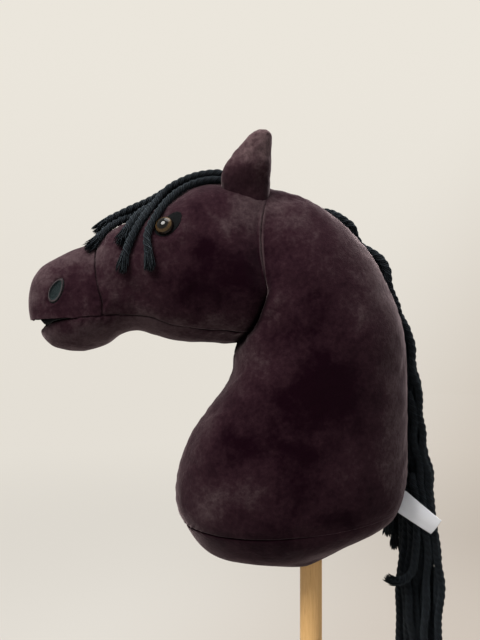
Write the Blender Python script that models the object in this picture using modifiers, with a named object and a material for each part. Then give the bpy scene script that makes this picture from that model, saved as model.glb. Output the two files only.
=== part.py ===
"""Hobby horse: a stuffed plush horse's head and neck on a wooden stick.

Metres, +Z up. The origin is the centre of the stick's foot, and Z runs along the stick.
The horse faces -X, its left side is -Y and its right side is +Y.
"""

import math

import bmesh
import bpy
import numpy as np
from mathutils import Matrix, Vector

MM = 0.001

# Stick and sleeve
STICK_R = 0.011
STICK_LENGTH = 0.850
STICK_CHAMFER = 0.0015
SLEEVE_CLEARANCE = 0.0003
SLEEVE_WALL = 0.0017
SLEEVE_FOOT_Z = 0.567
GUSSET_HOLE_R = 0.0116

# Cloth and stuffing
PLUSH = 0.002
FILL_DEPTH = 0.0032
THROAT_TAPER = 0.002
LIP_FILL_DEPTH = 0.0034
GAP = 0.0003
SEAM = 0.0012
UPPER_HEM = 0.006
LOWER_HEM = 0.014
CENTRE_SEAM = 0.0016

# Section exponents: 2 is an ellipse, more is squarer
HEAD_POWER = 2.15
NECK_POWER = 2.05

# Each row is one section of the stuffed form, in millimetres:
# top x, z; side x, z; bottom x, z; half width; bow of the top arc, of the bottom arc; gusset seam.
# The side is the widest point. A bow curves a section forwards or back between its points.
# The gusset seam is 1 at the side and 2 at the bottom.
HEAD = [
    (-42, 927, -44, 821, -77, 770, 50, -8, 5, 1.50),
    (-59, 930, -62, 830, -89, 772.5, 57, -5, 3, 1.565),
    (-83, 931.5, -85, 840, -105, 773.5, 60, -2, 1, 1.61),
    (-108, 930, -110, 847, -123, 774, 59, -1, 0, 1.595),
    (-131, 921, -133, 847, -141, 775.5, 55.5, 0, 0, 1.56),
    (-155, 906.5, -156, 843, -157, 779.5, 50.5, 0, 0, 1.495),
    (-179, 895, -177, 835, -174, 784, 45.5, 0, 0, 1.48),
    (-198, 885, -194, 822, -190, 780.5, 42, -2, 0, 1.34),
    (-211, 875.5, -203, 813, -203, 772, 40, -3.5, 0, 1.20),
    (-225, 869.5, -224, 798, -221, 765.5, 39.5, -2, 0, 1.0),
]
NOSE_BAND = 8
MOUTH_CORNER = 9
MUZZLE = [
    (-238, 865, -238, 797.2, -238, 797.2, 40, 0, 0, 1.0),
    (-254, 857, -252, 796.4, -252, 796.4, 38.5, 0, 0, 1.0),
    (-266, 850, -262, 795.8, -262, 795.8, 35.5, 0, 0, 1.0),
    (-273.5, 842, -268, 795.5, -268, 795.5, 31, 0, 0, 1.0),
    (-278, 834, -272, 795.3, -272, 795.3, 26.5, 0, 0, 1.0),
    (-280.5, 822, -275, 795.1, -275, 795.1, 20.5, 0, 0, 1.0),
    (-281, 810, -277, 795, -277, 795, 13.5, 0, 0, 1.0),
    (-280, 801, -278, 795, -278, 795, 7, 0, 0, 1.0),
    (-278.5, 795, -278.5, 795, -278.5, 795, 0, 0, 0, 1.0),
]
JAW = [
    (-234, 795.3, -234, 795.3, -230, 764, 38.5, 0, 0, 1.0),
    (-244, 792.7, -244, 792.7, -243, 765, 36, 0, 0, 1.0),
    (-252, 790.6, -252, 790.6, -254, 768, 32, 0, 0, 1.0),
    (-258, 789, -258, 789, -261, 772.5, 26, 0, 0, 1.0),
    (-263, 787.5, -263, 787.5, -266.5, 778, 18, 0, 0, 1.0),
    (-266.5, 786.3, -266.5, 786.3, -269, 783, 9, 0, 0, 1.0),
    (-268.5, 785.5, -268.5, 785.5, -268.5, 785.5, 0, 0, 0, 1.0),
]
NECK = [
    (-42, 927, -44, 821, -77, 770, 50, -8, 5, 1.0),
    (-5, 916, -42, 822, -77, 760, 57, -3, 3, 1.0),
    (25, 897, -30, 816, -78, 749, 61.5, 0, 1, 1.0),
    (53, 867, -18, 797, -83, 734, 64.5, 0, 0, 1.0),
    (73, 835, -12, 775, -93, 720, 67, 0, 0, 1.0),
    (89, 797, -9, 749, -107, 702, 69, 0, 0, 1.0),
    (95, 755, -13, 717, -121, 681, 70.5, 0, 0, 1.0),
    (96.5, 705, -17, 679, -131, 655, 72, 0, 0, 1.0),
    (96.5, 660, -19, 641, -135, 628, 71.5, 0, 1, 1.0),
    (94, 628, -20, 612, -133, 607, 68, 2, 4, 1.0),
    (85, 604, -21, 587.5, -124, 590, 60, 2, 3.5, 1.0),
    (74, 591.5, -22, 572, -112, 573.5, 49, 2, 3, 1.0),
    (53, 580, -23, 560.5, -95, 561, 36, 1, 2, 1.0),
    (27, 565.5, -24, 553, -75, 552.5, 20, 0, 0, 1.0),
    (-24, 551, -24, 551, -24, 551, 0, 0, 0, 1.0),
]
BASE_SEAM = 10
# Columns of a row
SIDE_X = 2
SIDE_Z = 3
HALF_WIDTH = 6
TOP_BOW = 7
BOTTOM_BOW = 8
GUSSET_SEAM = 9

# Mouth lining: how far inside the lips' edges, and the upper lip's share of the height
LINING_INSET = 0.0008
UPPER_SHARE = 0.58
LINING_X = (-0.232, -0.236, -0.240, -0.246, -0.252, -0.257, -0.262, -0.266)
LOWER_LINING_X = -0.261

# Eyes, on the side of the head
EYE_X = -0.142
EYE_AROUND = 0.65
EYE_R = 0.0090
EYE_HEIGHT = 0.0062
EYE_STEM_R = 0.0024
EYE_STEM_DEPTH = 0.0105
EYE_HOLE_R = 0.0032
EYE_POCKET_CLEARANCE = 0.0006
EYE_RIM = 0.0006
EYE_WASHER_R = 0.0075
EYE_WASHER_BORE = 0.0028
EYE_WASHER_TOP = -0.0046
EYE_WASHER_THICK = 0.0016
EYE_PATCH_LONG = 0.0222
EYE_PATCH_TALL = 0.0100
EYE_PATCH_TURN = math.radians(-34)
EYE_PATCH_HOLE = 0.0032
EYE_PATCH_POINT = 1.25
FELT = 0.0010

# Nostrils
NOSTRIL_X = -0.2477
NOSTRIL_AROUND = 0.74
NOSTRIL_LONG = 0.0124
NOSTRIL_WIDE = 0.0073
NOSTRIL_TURN = math.radians(110)

# Ears: height above the row's base, front edge and back edge, in millimetres
EAR_OUTLINE = [
    (880, -84, -46),
    (909, -88, -43.5),
    (924, -89, -42.5),
    (940, -87.5, -41.5),
    (955.5, -77.5, -41),
    (967, -68, -40.3),
    (974.5, -61, -41),
    (979, -53.5, -44.5),
]
EAR_MIDDLE_Y = 0.0265
EAR_CUP = 0.0155
EAR_INNER_REACH = 0.62
EAR_LEAN = 0.03
EAR_LAYER = 0.0017

# Mane: cords lie in lanes to the right of the crest, stacked on a tape
CORD_R = 0.0038
CORD_PITCH = 0.0090
LANE_FIRST = 0.0055
LANE_PITCH = 0.0085
TAPE_THICK = 0.0012
TAPE_GAP = 0.0007
TAPE_NEAR = 0.0012
TAPE_FROM = 0.015
TAPE_TO = 0.350
LEAVE = 0.362
CORD_GAP = 0.0009
# How far along the crest from the poll each cord of a lane starts
MANE_ROOTS = [
    (0.045, 0.268, 0.350),
    (0.030, 0.245, 0.318, 0.350),
    (0.060, 0.215, 0.288, 0.338),
    (0.038, 0.150, 0.245, 0.322),
    (0.050, 0.140, 0.225, 0.305),
    (0.165, 0.245, 0.325),
]
MANE_END = 0.578
CURLED_CORD = (0, 2)
# Cords that end early, as (lane, place in the lane): how far along they end
SHORT_CORDS = {(4, 3): 0.418, (5, 2): 0.452, (5, 1): 0.478, (0, 2): 0.490}
# How far back each lane moves once it hangs free
LANE_BACK = (0.0025, 0.0, 0.001, 0.003, 0.005, 0.007)
# How much wider apart each lane's cords hang than they lie, for each cord under them
LANE_SPREAD = (0.0042, 0.0002, 0.0010, -0.0008, -0.0008, -0.0008)
CLIMB = 0.032
CLIMBED = 0.004
# The hanging cords' sways, and the loose curl of one short cord
SWAY = 0.0026
SIDE_SWAY = 0.003
SIDE_SWAY_LENGTH = 0.21
SETTLE = 0.12
CURL_FROM = 0.410
CURL_OVER = 0.080
CURL_OUT = 0.021
CURL_UP = 0.006
# The tape widens by a lane where the outer lane starts
TAPE_LANES = 4
TAPE_WIDENS_AT = 0.085
TAPE_WIDENS_OVER = 0.055

# Forelock: each row is x in millimetres, how far round from the top (+ is right), lift in millimetres
FORELOCK_R = 0.0032
FORELOCK = [
    [(-74, 0, 9.8), (-98, 0, 9.8), (-125, 0, 9.8), (-150, 0, 9.9), (-172, 0, 10.4),
     (-188, -0.01, 10.6), (-198, -0.03, 10.2), (-206, -0.05, 8.8), (-213, -0.07, 7.2)],
    [(-74, 0.045, 3.8), (-98, 0.045, 3.8), (-125, 0.045, 3.8), (-150, 0.045, 3.8), (-172, 0.03, 3.8),
     (-186, -0.03, 3.8), (-196, -0.12, 3.8), (-205, -0.24, 3.8), (-213, -0.34, 3.8), (-221, -0.38, 3.9)],
    [(-74, -0.045, 3.8), (-98, -0.045, 3.8), (-125, -0.045, 3.8), (-148, -0.055, 3.8), (-160, -0.11, 3.8),
     (-168, -0.22, 3.8), (-174, -0.36, 3.9), (-180, -0.51, 3.9), (-187, -0.64, 4.0)],
    [(-74, -0.095, 9.8), (-98, -0.095, 9.8), (-125, -0.10, 9.8), (-138, -0.12, 9.3), (-148, -0.17, 6.4),
     (-156, -0.26, 4.1), (-163, -0.40, 3.9), (-172, -0.60, 3.9), (-179, -0.78, 3.9), (-183, -0.94, 4.2)],
    [(-74, -0.135, 3.8), (-95, -0.14, 3.8), (-114, -0.16, 3.8), (-128, -0.22, 3.8), (-140, -0.34, 4.0),
     (-150, -0.51, 4.8), (-156, -0.64, 5.2), (-157.5, -0.75, 5.0), (-156, -0.86, 4.0), (-154.5, -1.03, 4.2)],
    [(-74, 0.135, 3.8), (-95, 0.14, 3.8), (-114, 0.16, 3.8), (-129, 0.22, 3.8), (-142, 0.34, 4.0),
     (-153, 0.50, 4.8), (-160, 0.64, 5.2), (-162, 0.76, 4.6), (-161, 0.90, 4.2)],
    [(-74, 0.095, 9.8), (-98, 0.095, 9.8), (-125, 0.10, 9.8), (-140, 0.125, 9.2), (-150, 0.18, 6.2),
     (-159, 0.28, 4.1), (-169, 0.43, 3.9), (-178, 0.58, 3.9), (-184, 0.70, 4.1)],
]

# Care label: a blank ribbon in the back seam
LABEL_CORNERS = [(94.4, -1.0, 624.3), (127, -16, 597.5), (119, -5, 582), (86.6, -1.0, 602.8)]
LABEL_THICK = 0.0008
LABEL_CURL = 0.002

COLOURS = {
    "wood": ((0.43, 0.25, 0.11), 0.55),
    "plush": ((0.030, 0.013, 0.017), 0.95),
    "ear_plush": ((0.036, 0.017, 0.021), 0.95),
    "felt": ((0.008, 0.009, 0.010), 0.95),
    "nostril_felt": ((0.045, 0.050, 0.048), 0.95),
    "amber": ((0.24, 0.10, 0.02), 0.15),
    "washer": ((0.75, 0.75, 0.72), 0.5),
    "cord": ((0.010, 0.012, 0.014), 0.9),
    "tape": ((0.012, 0.012, 0.013), 0.9),
    "ribbon": ((0.72, 0.74, 0.78), 0.6),
    "stuffing": ((0.85, 0.84, 0.80), 1.0),
    "card": ((0.48, 0.36, 0.22), 0.9),
}


# Smooth curves through rows of numbers

def smooth_rows(rows, s):
    """The rows' values at row number s, on a smooth curve through all of them."""
    rows = np.asarray(rows, float)
    s = np.asarray(s, float)
    first = np.clip(np.floor(s).astype(int), 0, len(rows) - 2)
    f = (s - first)[..., None]
    last = len(rows) - 1
    a, b = rows[np.clip(first - 1, 0, last)], rows[first]
    c, d = rows[first + 1], rows[np.clip(first + 2, 0, last)]
    return b + 0.5 * f * (c - a + f * (2 * a - 5 * b + 4 * c - d + f * (3 * (b - c) + d - a)))


def smooth_step(x):
    x = np.clip(x, 0, 1)
    return x * x * (3 - 2 * x)


# The stuffed form's surface

UPPER = HEAD + MUZZLE
LOWER = HEAD + JAW


def skin(upper, lower, power, s, around):
    """Points of a stuffed form: s is the section, around is 0 at the top, 1 at the side, 2 at the bottom.

    Each arc is a quarter of a superellipse from the section's middle plane to its side. A negative
    around is the left side.
    """
    s, around = np.broadcast_arrays(np.asarray(s, float), np.asarray(around, float))
    v = np.abs(around)
    is_top = v <= 1
    row = np.where(is_top[..., None], smooth_rows(upper, s), smooth_rows(lower, s)) * MM
    start = np.where(is_top[..., None], row[..., 0:2], row[..., 2:4])
    end = np.where(is_top[..., None], row[..., 2:4], row[..., 4:6])
    bow = np.where(is_top, row[..., TOP_BOW], row[..., BOTTOM_BOW])
    angle = np.where(is_top, v, v - 1) * math.pi / 2
    fall = np.clip(np.cos(angle), 0, 1) ** (2 / power)
    rise = np.clip(np.sin(angle), 0, 1) ** (2 / power)
    along = np.where(is_top, 1 - fall, rise)
    out = np.where(is_top, rise, fall)
    d = end - start
    length = np.maximum(np.linalg.norm(d, axis=-1), 1e-9)
    push = bow * np.sin(math.pi * along)
    x = start[..., 0] + d[..., 0] * along - d[..., 1] / length * push
    z = start[..., 1] + d[..., 1] * along + d[..., 0] / length * push
    return np.stack([x, np.sign(around) * row[..., HALF_WIDTH] * out, z], axis=-1)


def head_skin(s, around):
    return skin(UPPER, LOWER, HEAD_POWER, s, around)


def neck_skin(s, around):
    return skin(NECK, NECK, NECK_POWER, s, around)


def skin_normal(surface, s, around, facing):
    """The unit normal at points of a surface. facing is 1 on the head and -1 on the neck."""
    step = 0.02
    ds = surface(s + step, around) - surface(s - step, around)
    dv = surface(s, around + step) - surface(s, around - step)
    n = np.cross(dv, ds) * facing
    return n / np.maximum(np.linalg.norm(n, axis=-1, keepdims=True), 1e-12)


def on_head(x, around, lift):
    """Points at x and around on the head, lifted off the plush."""
    sections = np.linspace(0, 13, 521)
    points = []
    for px, pv, pl in zip(np.atleast_1d(x), np.atleast_1d(around), np.atleast_1d(lift)):
        xs = head_skin(sections, pv)[:, 0]
        s = np.interp(-px, -xs, sections)
        points.append(head_skin(s, pv) + skin_normal(head_skin, s, pv, 1) * pl)
    return np.array(points)


# Objects

def material(name):
    found = bpy.data.materials.get(name)
    if found:
        return found
    made = bpy.data.materials.new(name)
    made.use_nodes = True
    shader = made.node_tree.nodes["Principled BSDF"]
    colour, roughness = COLOURS[name]
    shader.inputs["Base Color"].default_value = (*colour, 1)
    shader.inputs["Roughness"].default_value = roughness
    shader.inputs["Metallic"].default_value = 0.0
    made.diffuse_color = (*colour, 1)
    return made


def collection(name):
    made = bpy.data.collections.new(name)
    bpy.context.scene.collection.children.link(made)
    return made


def add(name, data, finish):
    obj = bpy.data.objects.new(name, data)
    PARTS.objects.link(obj)
    data.materials.clear()
    data.materials.append(material(finish))
    return obj


def mesh_of(name, points, faces):
    mesh = bpy.data.meshes.new(name)
    mesh.from_pydata([tuple(p) for p in points], [], faces)
    mesh.validate()
    mesh.update()
    return mesh


def round_off(obj):
    obj.data.shade_smooth()
    return obj


def cutter(name, data):
    obj = bpy.data.objects.new(name, data)
    CUTTERS.objects.link(obj)
    obj.hide_render = True
    obj.display_type = "WIRE"
    return obj


def cut(obj, tool):
    mod = obj.modifiers.new("cut_" + tool.name, "BOOLEAN")
    mod.operation = "DIFFERENCE"
    mod.solver = "EXACT"
    mod.object = tool


def cylinder_mesh(name, radius, z0, z1, sides):
    bm = bmesh.new()
    bmesh.ops.create_cone(
        bm,
        cap_ends=True,
        cap_tris=False,
        segments=sides,
        radius1=radius,
        radius2=radius,
        depth=z1 - z0,
        matrix=Matrix.Translation((0, 0, (z0 + z1) / 2)),
    )
    mesh = bpy.data.meshes.new(name)
    bm.to_mesh(mesh)
    bm.free()
    return mesh


def turned(name, profile, finish, sides, closed=False):
    """A profile of (radius, height) turned about Z."""
    count = len(profile)
    edges = [(i, (i + 1) % count) for i in range(count if closed else count - 1)]
    mesh = bpy.data.meshes.new(name)
    mesh.from_pydata([(r, 0, z) for r, z in profile], edges, [])
    obj = add(name, mesh, finish)
    screw = obj.modifiers.new("turn", "SCREW")
    screw.axis = "Z"
    screw.steps = sides
    screw.render_steps = sides
    screw.use_merge_vertices = True
    screw.merge_threshold = 0.00001
    return obj


def grid_faces(rows, columns, closed=False):
    faces = []
    for i in range(rows - 1):
        here, below = i * columns, (i + 1) * columns
        for j in range(columns if closed else columns - 1):
            after = (j + 1) % columns
            faces.append((here + j, below + j, below + after, here + after))
    return faces


def panel(name, points, finish, thickness=PLUSH):
    """A sewn piece of cloth: an open grid of points, thickened inwards. A last row may be one point."""
    rows, columns = points.shape[:2]
    bm = bmesh.new()
    mesh = mesh_of(name, points.reshape(-1, 3), grid_faces(rows, columns))
    bm.from_mesh(mesh)
    bmesh.ops.remove_doubles(bm, verts=bm.verts, dist=0.00001)
    core = sum((v.co for v in bm.verts), Vector()) / len(bm.verts)
    bm.normal_update()
    core.y = 0
    facing = sum(f.normal.dot(f.calc_center_median() - core) * f.calc_area() for f in bm.faces)
    if facing < 0:
        bmesh.ops.reverse_faces(bm, faces=bm.faces)
    bm.to_mesh(mesh)
    bm.free()
    obj = add(name, mesh, finish)
    solid = obj.modifiers.new("cloth", "SOLIDIFY")
    solid.thickness = thickness
    solid.offset = -1
    return round_off(obj)


def facing_out(mesh):
    bm = bmesh.new()
    bm.from_mesh(mesh)
    bmesh.ops.recalc_face_normals(bm, faces=bm.faces)
    bm.to_mesh(mesh)
    bm.free()
    return mesh


def stuffed_loft(name, half, flat=False):
    """A solid from the left halves of its rings, which start and end on the middle plane.

    With flat, they end at its left edge, and a flat face joins that edge to the right one.
    """
    k = half.shape[1]
    mirror = (half[:, :0:-1] if flat else half[:, -2:0:-1]) * np.array([1, -1, 1])
    rings = np.concatenate([half, mirror], axis=1)
    rows, n = rings.shape[:2]
    faces = grid_faces(rows, n, closed=True)
    for base in (0, (rows - 1) * n):
        faces.append((base, base + 1, base + n - 1))
        for j in range(1, k - 1 if flat else k - 2):
            faces.append((base + j, base + j + 1, base + n - j - 1, base + n - j))
        if not flat:
            faces.append((base + k - 2, base + k - 1, base + k))
    return facing_out(mesh_of(name, rings.reshape(-1, 3), faces))


def box_loft(name, rings):
    """A solid through flat rings of four corners."""
    rows, n = rings.shape[:2]
    faces = grid_faces(rows, n, closed=True) + [tuple(range(n)), tuple(range((rows - 1) * n, rows * n))]
    return facing_out(mesh_of(name, rings.reshape(-1, 3), faces))


def place_on(obj, origin, normal, up):
    """Stands an object's Z along normal at origin, with its Y towards up."""
    z = Vector(normal).normalized()
    x = Vector(up).cross(z).normalized()
    y = z.cross(x)
    obj.matrix_world = Matrix.Translation(Vector(origin)) @ Matrix((x, y, z)).transposed().to_4x4()
    return obj


def cord(name, points, radius, finish):
    curve = bpy.data.curves.new(name, "CURVE")
    curve.dimensions = "3D"
    curve.bevel_depth = radius
    curve.bevel_resolution = 2
    curve.use_fill_caps = True
    spline = curve.splines.new("POLY")
    spline.points.add(len(points) - 1)
    for point, co in zip(spline.points, points):
        point.co = (*co, 1)
    return add(name, curve, finish)


# Stick and its sleeve

def make_stick():
    obj = add("stick", cylinder_mesh("stick", STICK_R, 0, STICK_LENGTH, 40), "wood")
    bevel = obj.modifiers.new("chamfer", "BEVEL")
    bevel.width = STICK_CHAMFER
    bevel.segments = 1
    bevel.limit_method = "ANGLE"
    bevel.angle_limit = math.radians(60)
    obj.data.set_sharp_from_angle(angle=math.radians(40))


def make_sleeve():
    inner = STICK_R + SLEEVE_CLEARANCE
    outer = inner + SLEEVE_WALL
    roof = STICK_LENGTH + GAP
    top = roof + SLEEVE_WALL
    profile = [
        (0, top),
        (outer, top),
        (outer, SLEEVE_FOOT_Z),
        (inner, SLEEVE_FOOT_Z),
        (inner, roof),
        (0, roof),
    ]
    turned("stick_sleeve", profile, "card", 40)
    bore = cylinder_mesh("sleeve_bore", outer + GAP, 0.5, top + GAP, 40)
    return cutter("sleeve_bore", bore)


# Stuffing

def ring_columns(seams, top_steps, bottom_steps):
    """How far round each point of a half ring lies in each section: the top to the seam to the bottom."""
    top = seams[:, None] * np.linspace(0, 1, top_steps + 1)
    low = seams[:, None] + (2 - seams[:, None]) * np.linspace(0, 1, bottom_steps + 1)
    return np.concatenate([top, low[:, 1:]], axis=1)


def inner_half(surface, s, columns, facing, depth):
    """The left half of a form, a depth inside its plush, with its middle points on the middle plane."""
    around = -columns
    points = surface(s[:, None], around)
    points = points - skin_normal(surface, s[:, None], around, facing) * depth
    points[..., 1] = np.minimum(points[..., 1], 0)
    points[:, [0, -1], 1] = 0
    return points


def seam_at(s):
    return smooth_rows(UPPER, s)[:, GUSSET_SEAM]


def neck_rows():
    return np.concatenate([[0.0, 0.4], np.arange(1, BASE_SEAM + 1.0)])


def make_neck_fill(bore):
    s = neck_rows()
    s[0] = 0.1
    s = np.concatenate([s, [11.0, 12.0, 12.9]])
    columns = np.tile(np.linspace(0, 2, 13), (len(s), 1))
    depth = FILL_DEPTH + THROAT_TAPER * np.clip(1 - s, 0, 1)
    half = inner_half(neck_skin, s, columns, -1, depth[:, None, None])
    obj = round_off(add("neck_fill", stuffed_loft("neck_fill", half), "stuffing"))
    cut(obj, bore)


def head_rows():
    return np.concatenate([[0.0, 0.4], np.arange(1, NOSE_BAND + 1.0)])


def make_head_fill():
    s = np.concatenate([head_rows(), [8.5, 8.93]])
    s[0] = 0.03
    columns = ring_columns(seam_at(s), 8, 4)
    half = inner_half(head_skin, s, columns, 1, FILL_DEPTH)
    return round_off(add("head_fill", stuffed_loft("head_fill", half), "stuffing"))


def lip_fill(name, s, around, lift):
    """Stuffing in front of the mouth's corner, flat where it meets the mouth. It starts at the middle."""
    outer = head_skin(s[:, None], -around[None, :])
    points = outer - skin_normal(head_skin, s[:, None], -around[None, :], 1) * LIP_FILL_DEPTH
    points[:, 0, 1] = 0
    points[..., 1] = np.minimum(points[..., 1], 0)
    points[:, -1, 2] = outer[:, -1, 2] + lift
    return round_off(add(name, stuffed_loft(name, points, True), "stuffing"))


def make_lip_fills():
    upper = np.array([9.03, 9.5, 10, 10.5, 11, 12, 13, 14, 15, 16])
    lower = np.array([9.03, 9.5, 10, 10.5, 11, 11.6, 12.3, 13, 13.8])
    lip_fill("muzzle_fill", upper, np.linspace(0, 0.97, 7), GAP)
    lip_fill("jaw_fill", lower, np.linspace(2, 1.05, 6), -GAP)


# Plush panels

def trimmed(values, surface, around, start, end):
    """Section numbers whose ends are drawn in by half a seam."""
    s = values.copy()
    for index, inward, wanted in ((0, 1, start), (-1, -1, end)):
        if wanted:
            here, near = surface(s[index], around), surface(s[index] + inward * 0.05, around)
            s[index] += inward * 0.05 * (SEAM / 2) / np.linalg.norm(near - here)
    return s


def centre_gap(around, half_width):
    """The least value of around that keeps a panel clear of the middle plane."""
    angle = np.arcsin(np.clip(CENTRE_SEAM / 2 / half_width, 0, 1))
    return np.maximum(around, angle * 2 / math.pi)


def make_neck_panels():
    s = trimmed(neck_rows(), neck_skin, 0.7, True, True)
    width = smooth_rows(NECK, s)[:, HALF_WIDTH] * MM
    columns = np.tile(np.linspace(0, 2, 13), (len(s), 1))
    start = centre_gap(0, width)
    columns = start[:, None] + columns * (1 - start[:, None])
    for side, sign in (("left", -1), ("right", 1)):
        panel("neck_panel_" + side, neck_skin(s[:, None], sign * columns), "plush")


def make_base_gusset(bore):
    s = trimmed(np.array([10, 11, 12.0, 13.0, 14]), neck_skin, 0.7, True, False)
    around = np.concatenate([np.linspace(0, 2, 13), np.linspace(-2, 0, 13)[1:]])
    obj = panel("base_gusset", neck_skin(s[:, None], around[None, :]), "plush")
    cut(obj, bore)


def make_cheek_panels():
    s = trimmed(head_rows(), head_skin, 0.7, True, True)
    width = smooth_rows(UPPER, s)[:, HALF_WIDTH] * MM
    start = centre_gap(0, width)[:, None]
    end = (seam_at(s) - SEAM / 2 / (width * math.pi / 2))[:, None]
    columns = start + (end - start) * np.linspace(0, 1, 9)
    made = []
    for side, sign in (("left", -1), ("right", 1)):
        made.append(panel("cheek_panel_" + side, head_skin(s[:, None], sign * columns), "plush"))
    return made


def make_muzzle_panel():
    s = trimmed(np.array([8, 8.5, 9, 9.5, 10, 11, 12, 13, 14, 15, 16, 18]), head_skin, 0.7, True, False)
    edge = seam_at(s) - UPPER_HEM
    around = edge[:, None] * np.linspace(-1, 1, 13)
    panel("muzzle_panel", head_skin(s[:, None], around), "plush")


def make_jaw_gusset():
    s = np.concatenate([head_rows(), [8.5, 9, 9.5, 10, 11, 12, 13, 14, 16]])
    s = trimmed(s, head_skin, 1.9, True, False)
    seam = seam_at(s) + LOWER_HEM
    half = seam[:, None] + (2 - seam[:, None]) * np.linspace(0, 1, 6)
    around = np.concatenate([-half, half[:, -2::-1]], axis=1)
    panel("jaw_gusset", head_skin(s[:, None], around), "plush")


# Mouth

def lip_value(sections, column, x):
    """A column's value at x along the upper or the lower lip, in front of the mouth's corner."""
    rows = np.array(sections[MOUTH_CORNER:])
    return np.interp(-x / MM, -rows[:, SIDE_X], rows[:, column]) * MM


def felt_lip(name, x, half_width, low, high):
    """A felt wedge between two heights: each ring is a rectangle across the mouth."""
    corners = [(x, -half_width, high), (x, -half_width, low), (x, half_width, low), (x, half_width, high)]
    rings = np.stack([np.stack(corner, axis=-1) for corner in corners], axis=1)
    return add(name, box_loft(name, rings), "felt")


def make_mouth():
    x = np.array(LINING_X)
    roof = lip_value(UPPER, SIDE_Z, x) - GAP
    floor = lip_value(LOWER, SIDE_Z, x) + GAP
    meet = roof - UPPER_SHARE * (roof - floor)
    width = lip_value(UPPER, HALF_WIDTH, x) - LINING_INSET - PLUSH * 0.2
    felt_lip("mouth_lining_upper", x, width, meet + GAP / 2, roof)
    keep = x > LOWER_LINING_X
    narrow = np.minimum(lip_value(LOWER, HALF_WIDTH, x) - LINING_INSET, width)[keep]
    felt_lip("mouth_lining_lower", x[keep], narrow, floor[keep], meet[keep] - GAP / 2)


# Eyes and nostrils

def flat_frame(surface, x, around):
    """The point, the normal and the two unit directions, forwards and up, of the skin at a place."""
    sections = np.linspace(0, 13, 521)
    s = np.interp(-x, -surface(sections, around)[:, 0], sections)
    normal = skin_normal(surface, s, around, 1)
    ahead = np.array([-1.0, 0, 0])
    ahead -= normal * (ahead @ normal)
    ahead /= np.linalg.norm(ahead)
    up = np.cross(ahead, normal) * (1 if around < 0 else -1)
    if up[2] < 0:
        up = -up
    return s, surface(s, around), normal, ahead, up


def skin_patch(x, around, offsets, lift):
    """Points of a flat pattern laid on the head: offsets are metres forwards and up from a place."""
    s, _, _, ahead, up = flat_frame(head_skin, x, around)
    step = 0.02
    ds = (head_skin(s + step, around) - head_skin(s - step, around)) / (2 * step)
    dv = (head_skin(s, around + step) - head_skin(s, around - step)) / (2 * step)
    to_parameters = np.linalg.pinv(np.stack([ds, dv], axis=1))
    moves = offsets[..., 0:1] * ahead + offsets[..., 1:2] * up
    change = moves @ to_parameters.T
    ss, vv = s + change[..., 0], around + change[..., 1]
    return head_skin(ss, vv) + skin_normal(head_skin, ss, vv, 1) * lift


def almond(angle, long, tall, power):
    """A pointed oval."""
    c, s = np.cos(angle), np.sin(angle)
    return np.stack([long * c, tall * np.sign(s) * np.abs(s) ** power], axis=-1)


def felt_ring(name, x, side, around, outline, hole, finish, thickness=FELT):
    """A felt shape on the head with a round hole in it, or none. The first ring is the hole."""
    shares = np.linspace(0, 1, 3)[:, None, None]
    rings = hole[None] * (1 - shares) + outline[None] * shares
    points = skin_patch(x, side * around, rings, GAP + thickness)
    rows, columns = points.shape[:2]
    mesh = mesh_of(name, points.reshape(-1, 3), grid_faces(rows, columns, closed=True))
    bm = bmesh.new()
    bm.from_mesh(mesh)
    bmesh.ops.remove_doubles(bm, verts=bm.verts, dist=0.00001)
    bm.normal_update()
    if sum(f.normal.y * side for f in bm.faces) < 0:
        bmesh.ops.reverse_faces(bm, faces=bm.faces)
    bm.to_mesh(mesh)
    bm.free()
    obj = add(name, mesh, finish)
    solid = obj.modifiers.new("felt", "SOLIDIFY")
    solid.thickness = thickness
    solid.offset = -1
    return obj


def turn_plane(points, angle):
    c, s = math.cos(angle), math.sin(angle)
    return points @ np.array([[c, s], [-s, c]])


def eye_profile():
    base = GAP + FELT + GAP
    dome = [
        (EYE_R * math.cos(t), base + EYE_RIM + EYE_HEIGHT * math.sin(t))
        for t in np.linspace(math.pi / 2, 0, 6)
    ]
    dome[0] = (0, dome[0][1])
    return dome + [(EYE_R, base), (EYE_STEM_R, base), (EYE_STEM_R, -EYE_STEM_DEPTH), (0, -EYE_STEM_DEPTH)]


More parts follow.
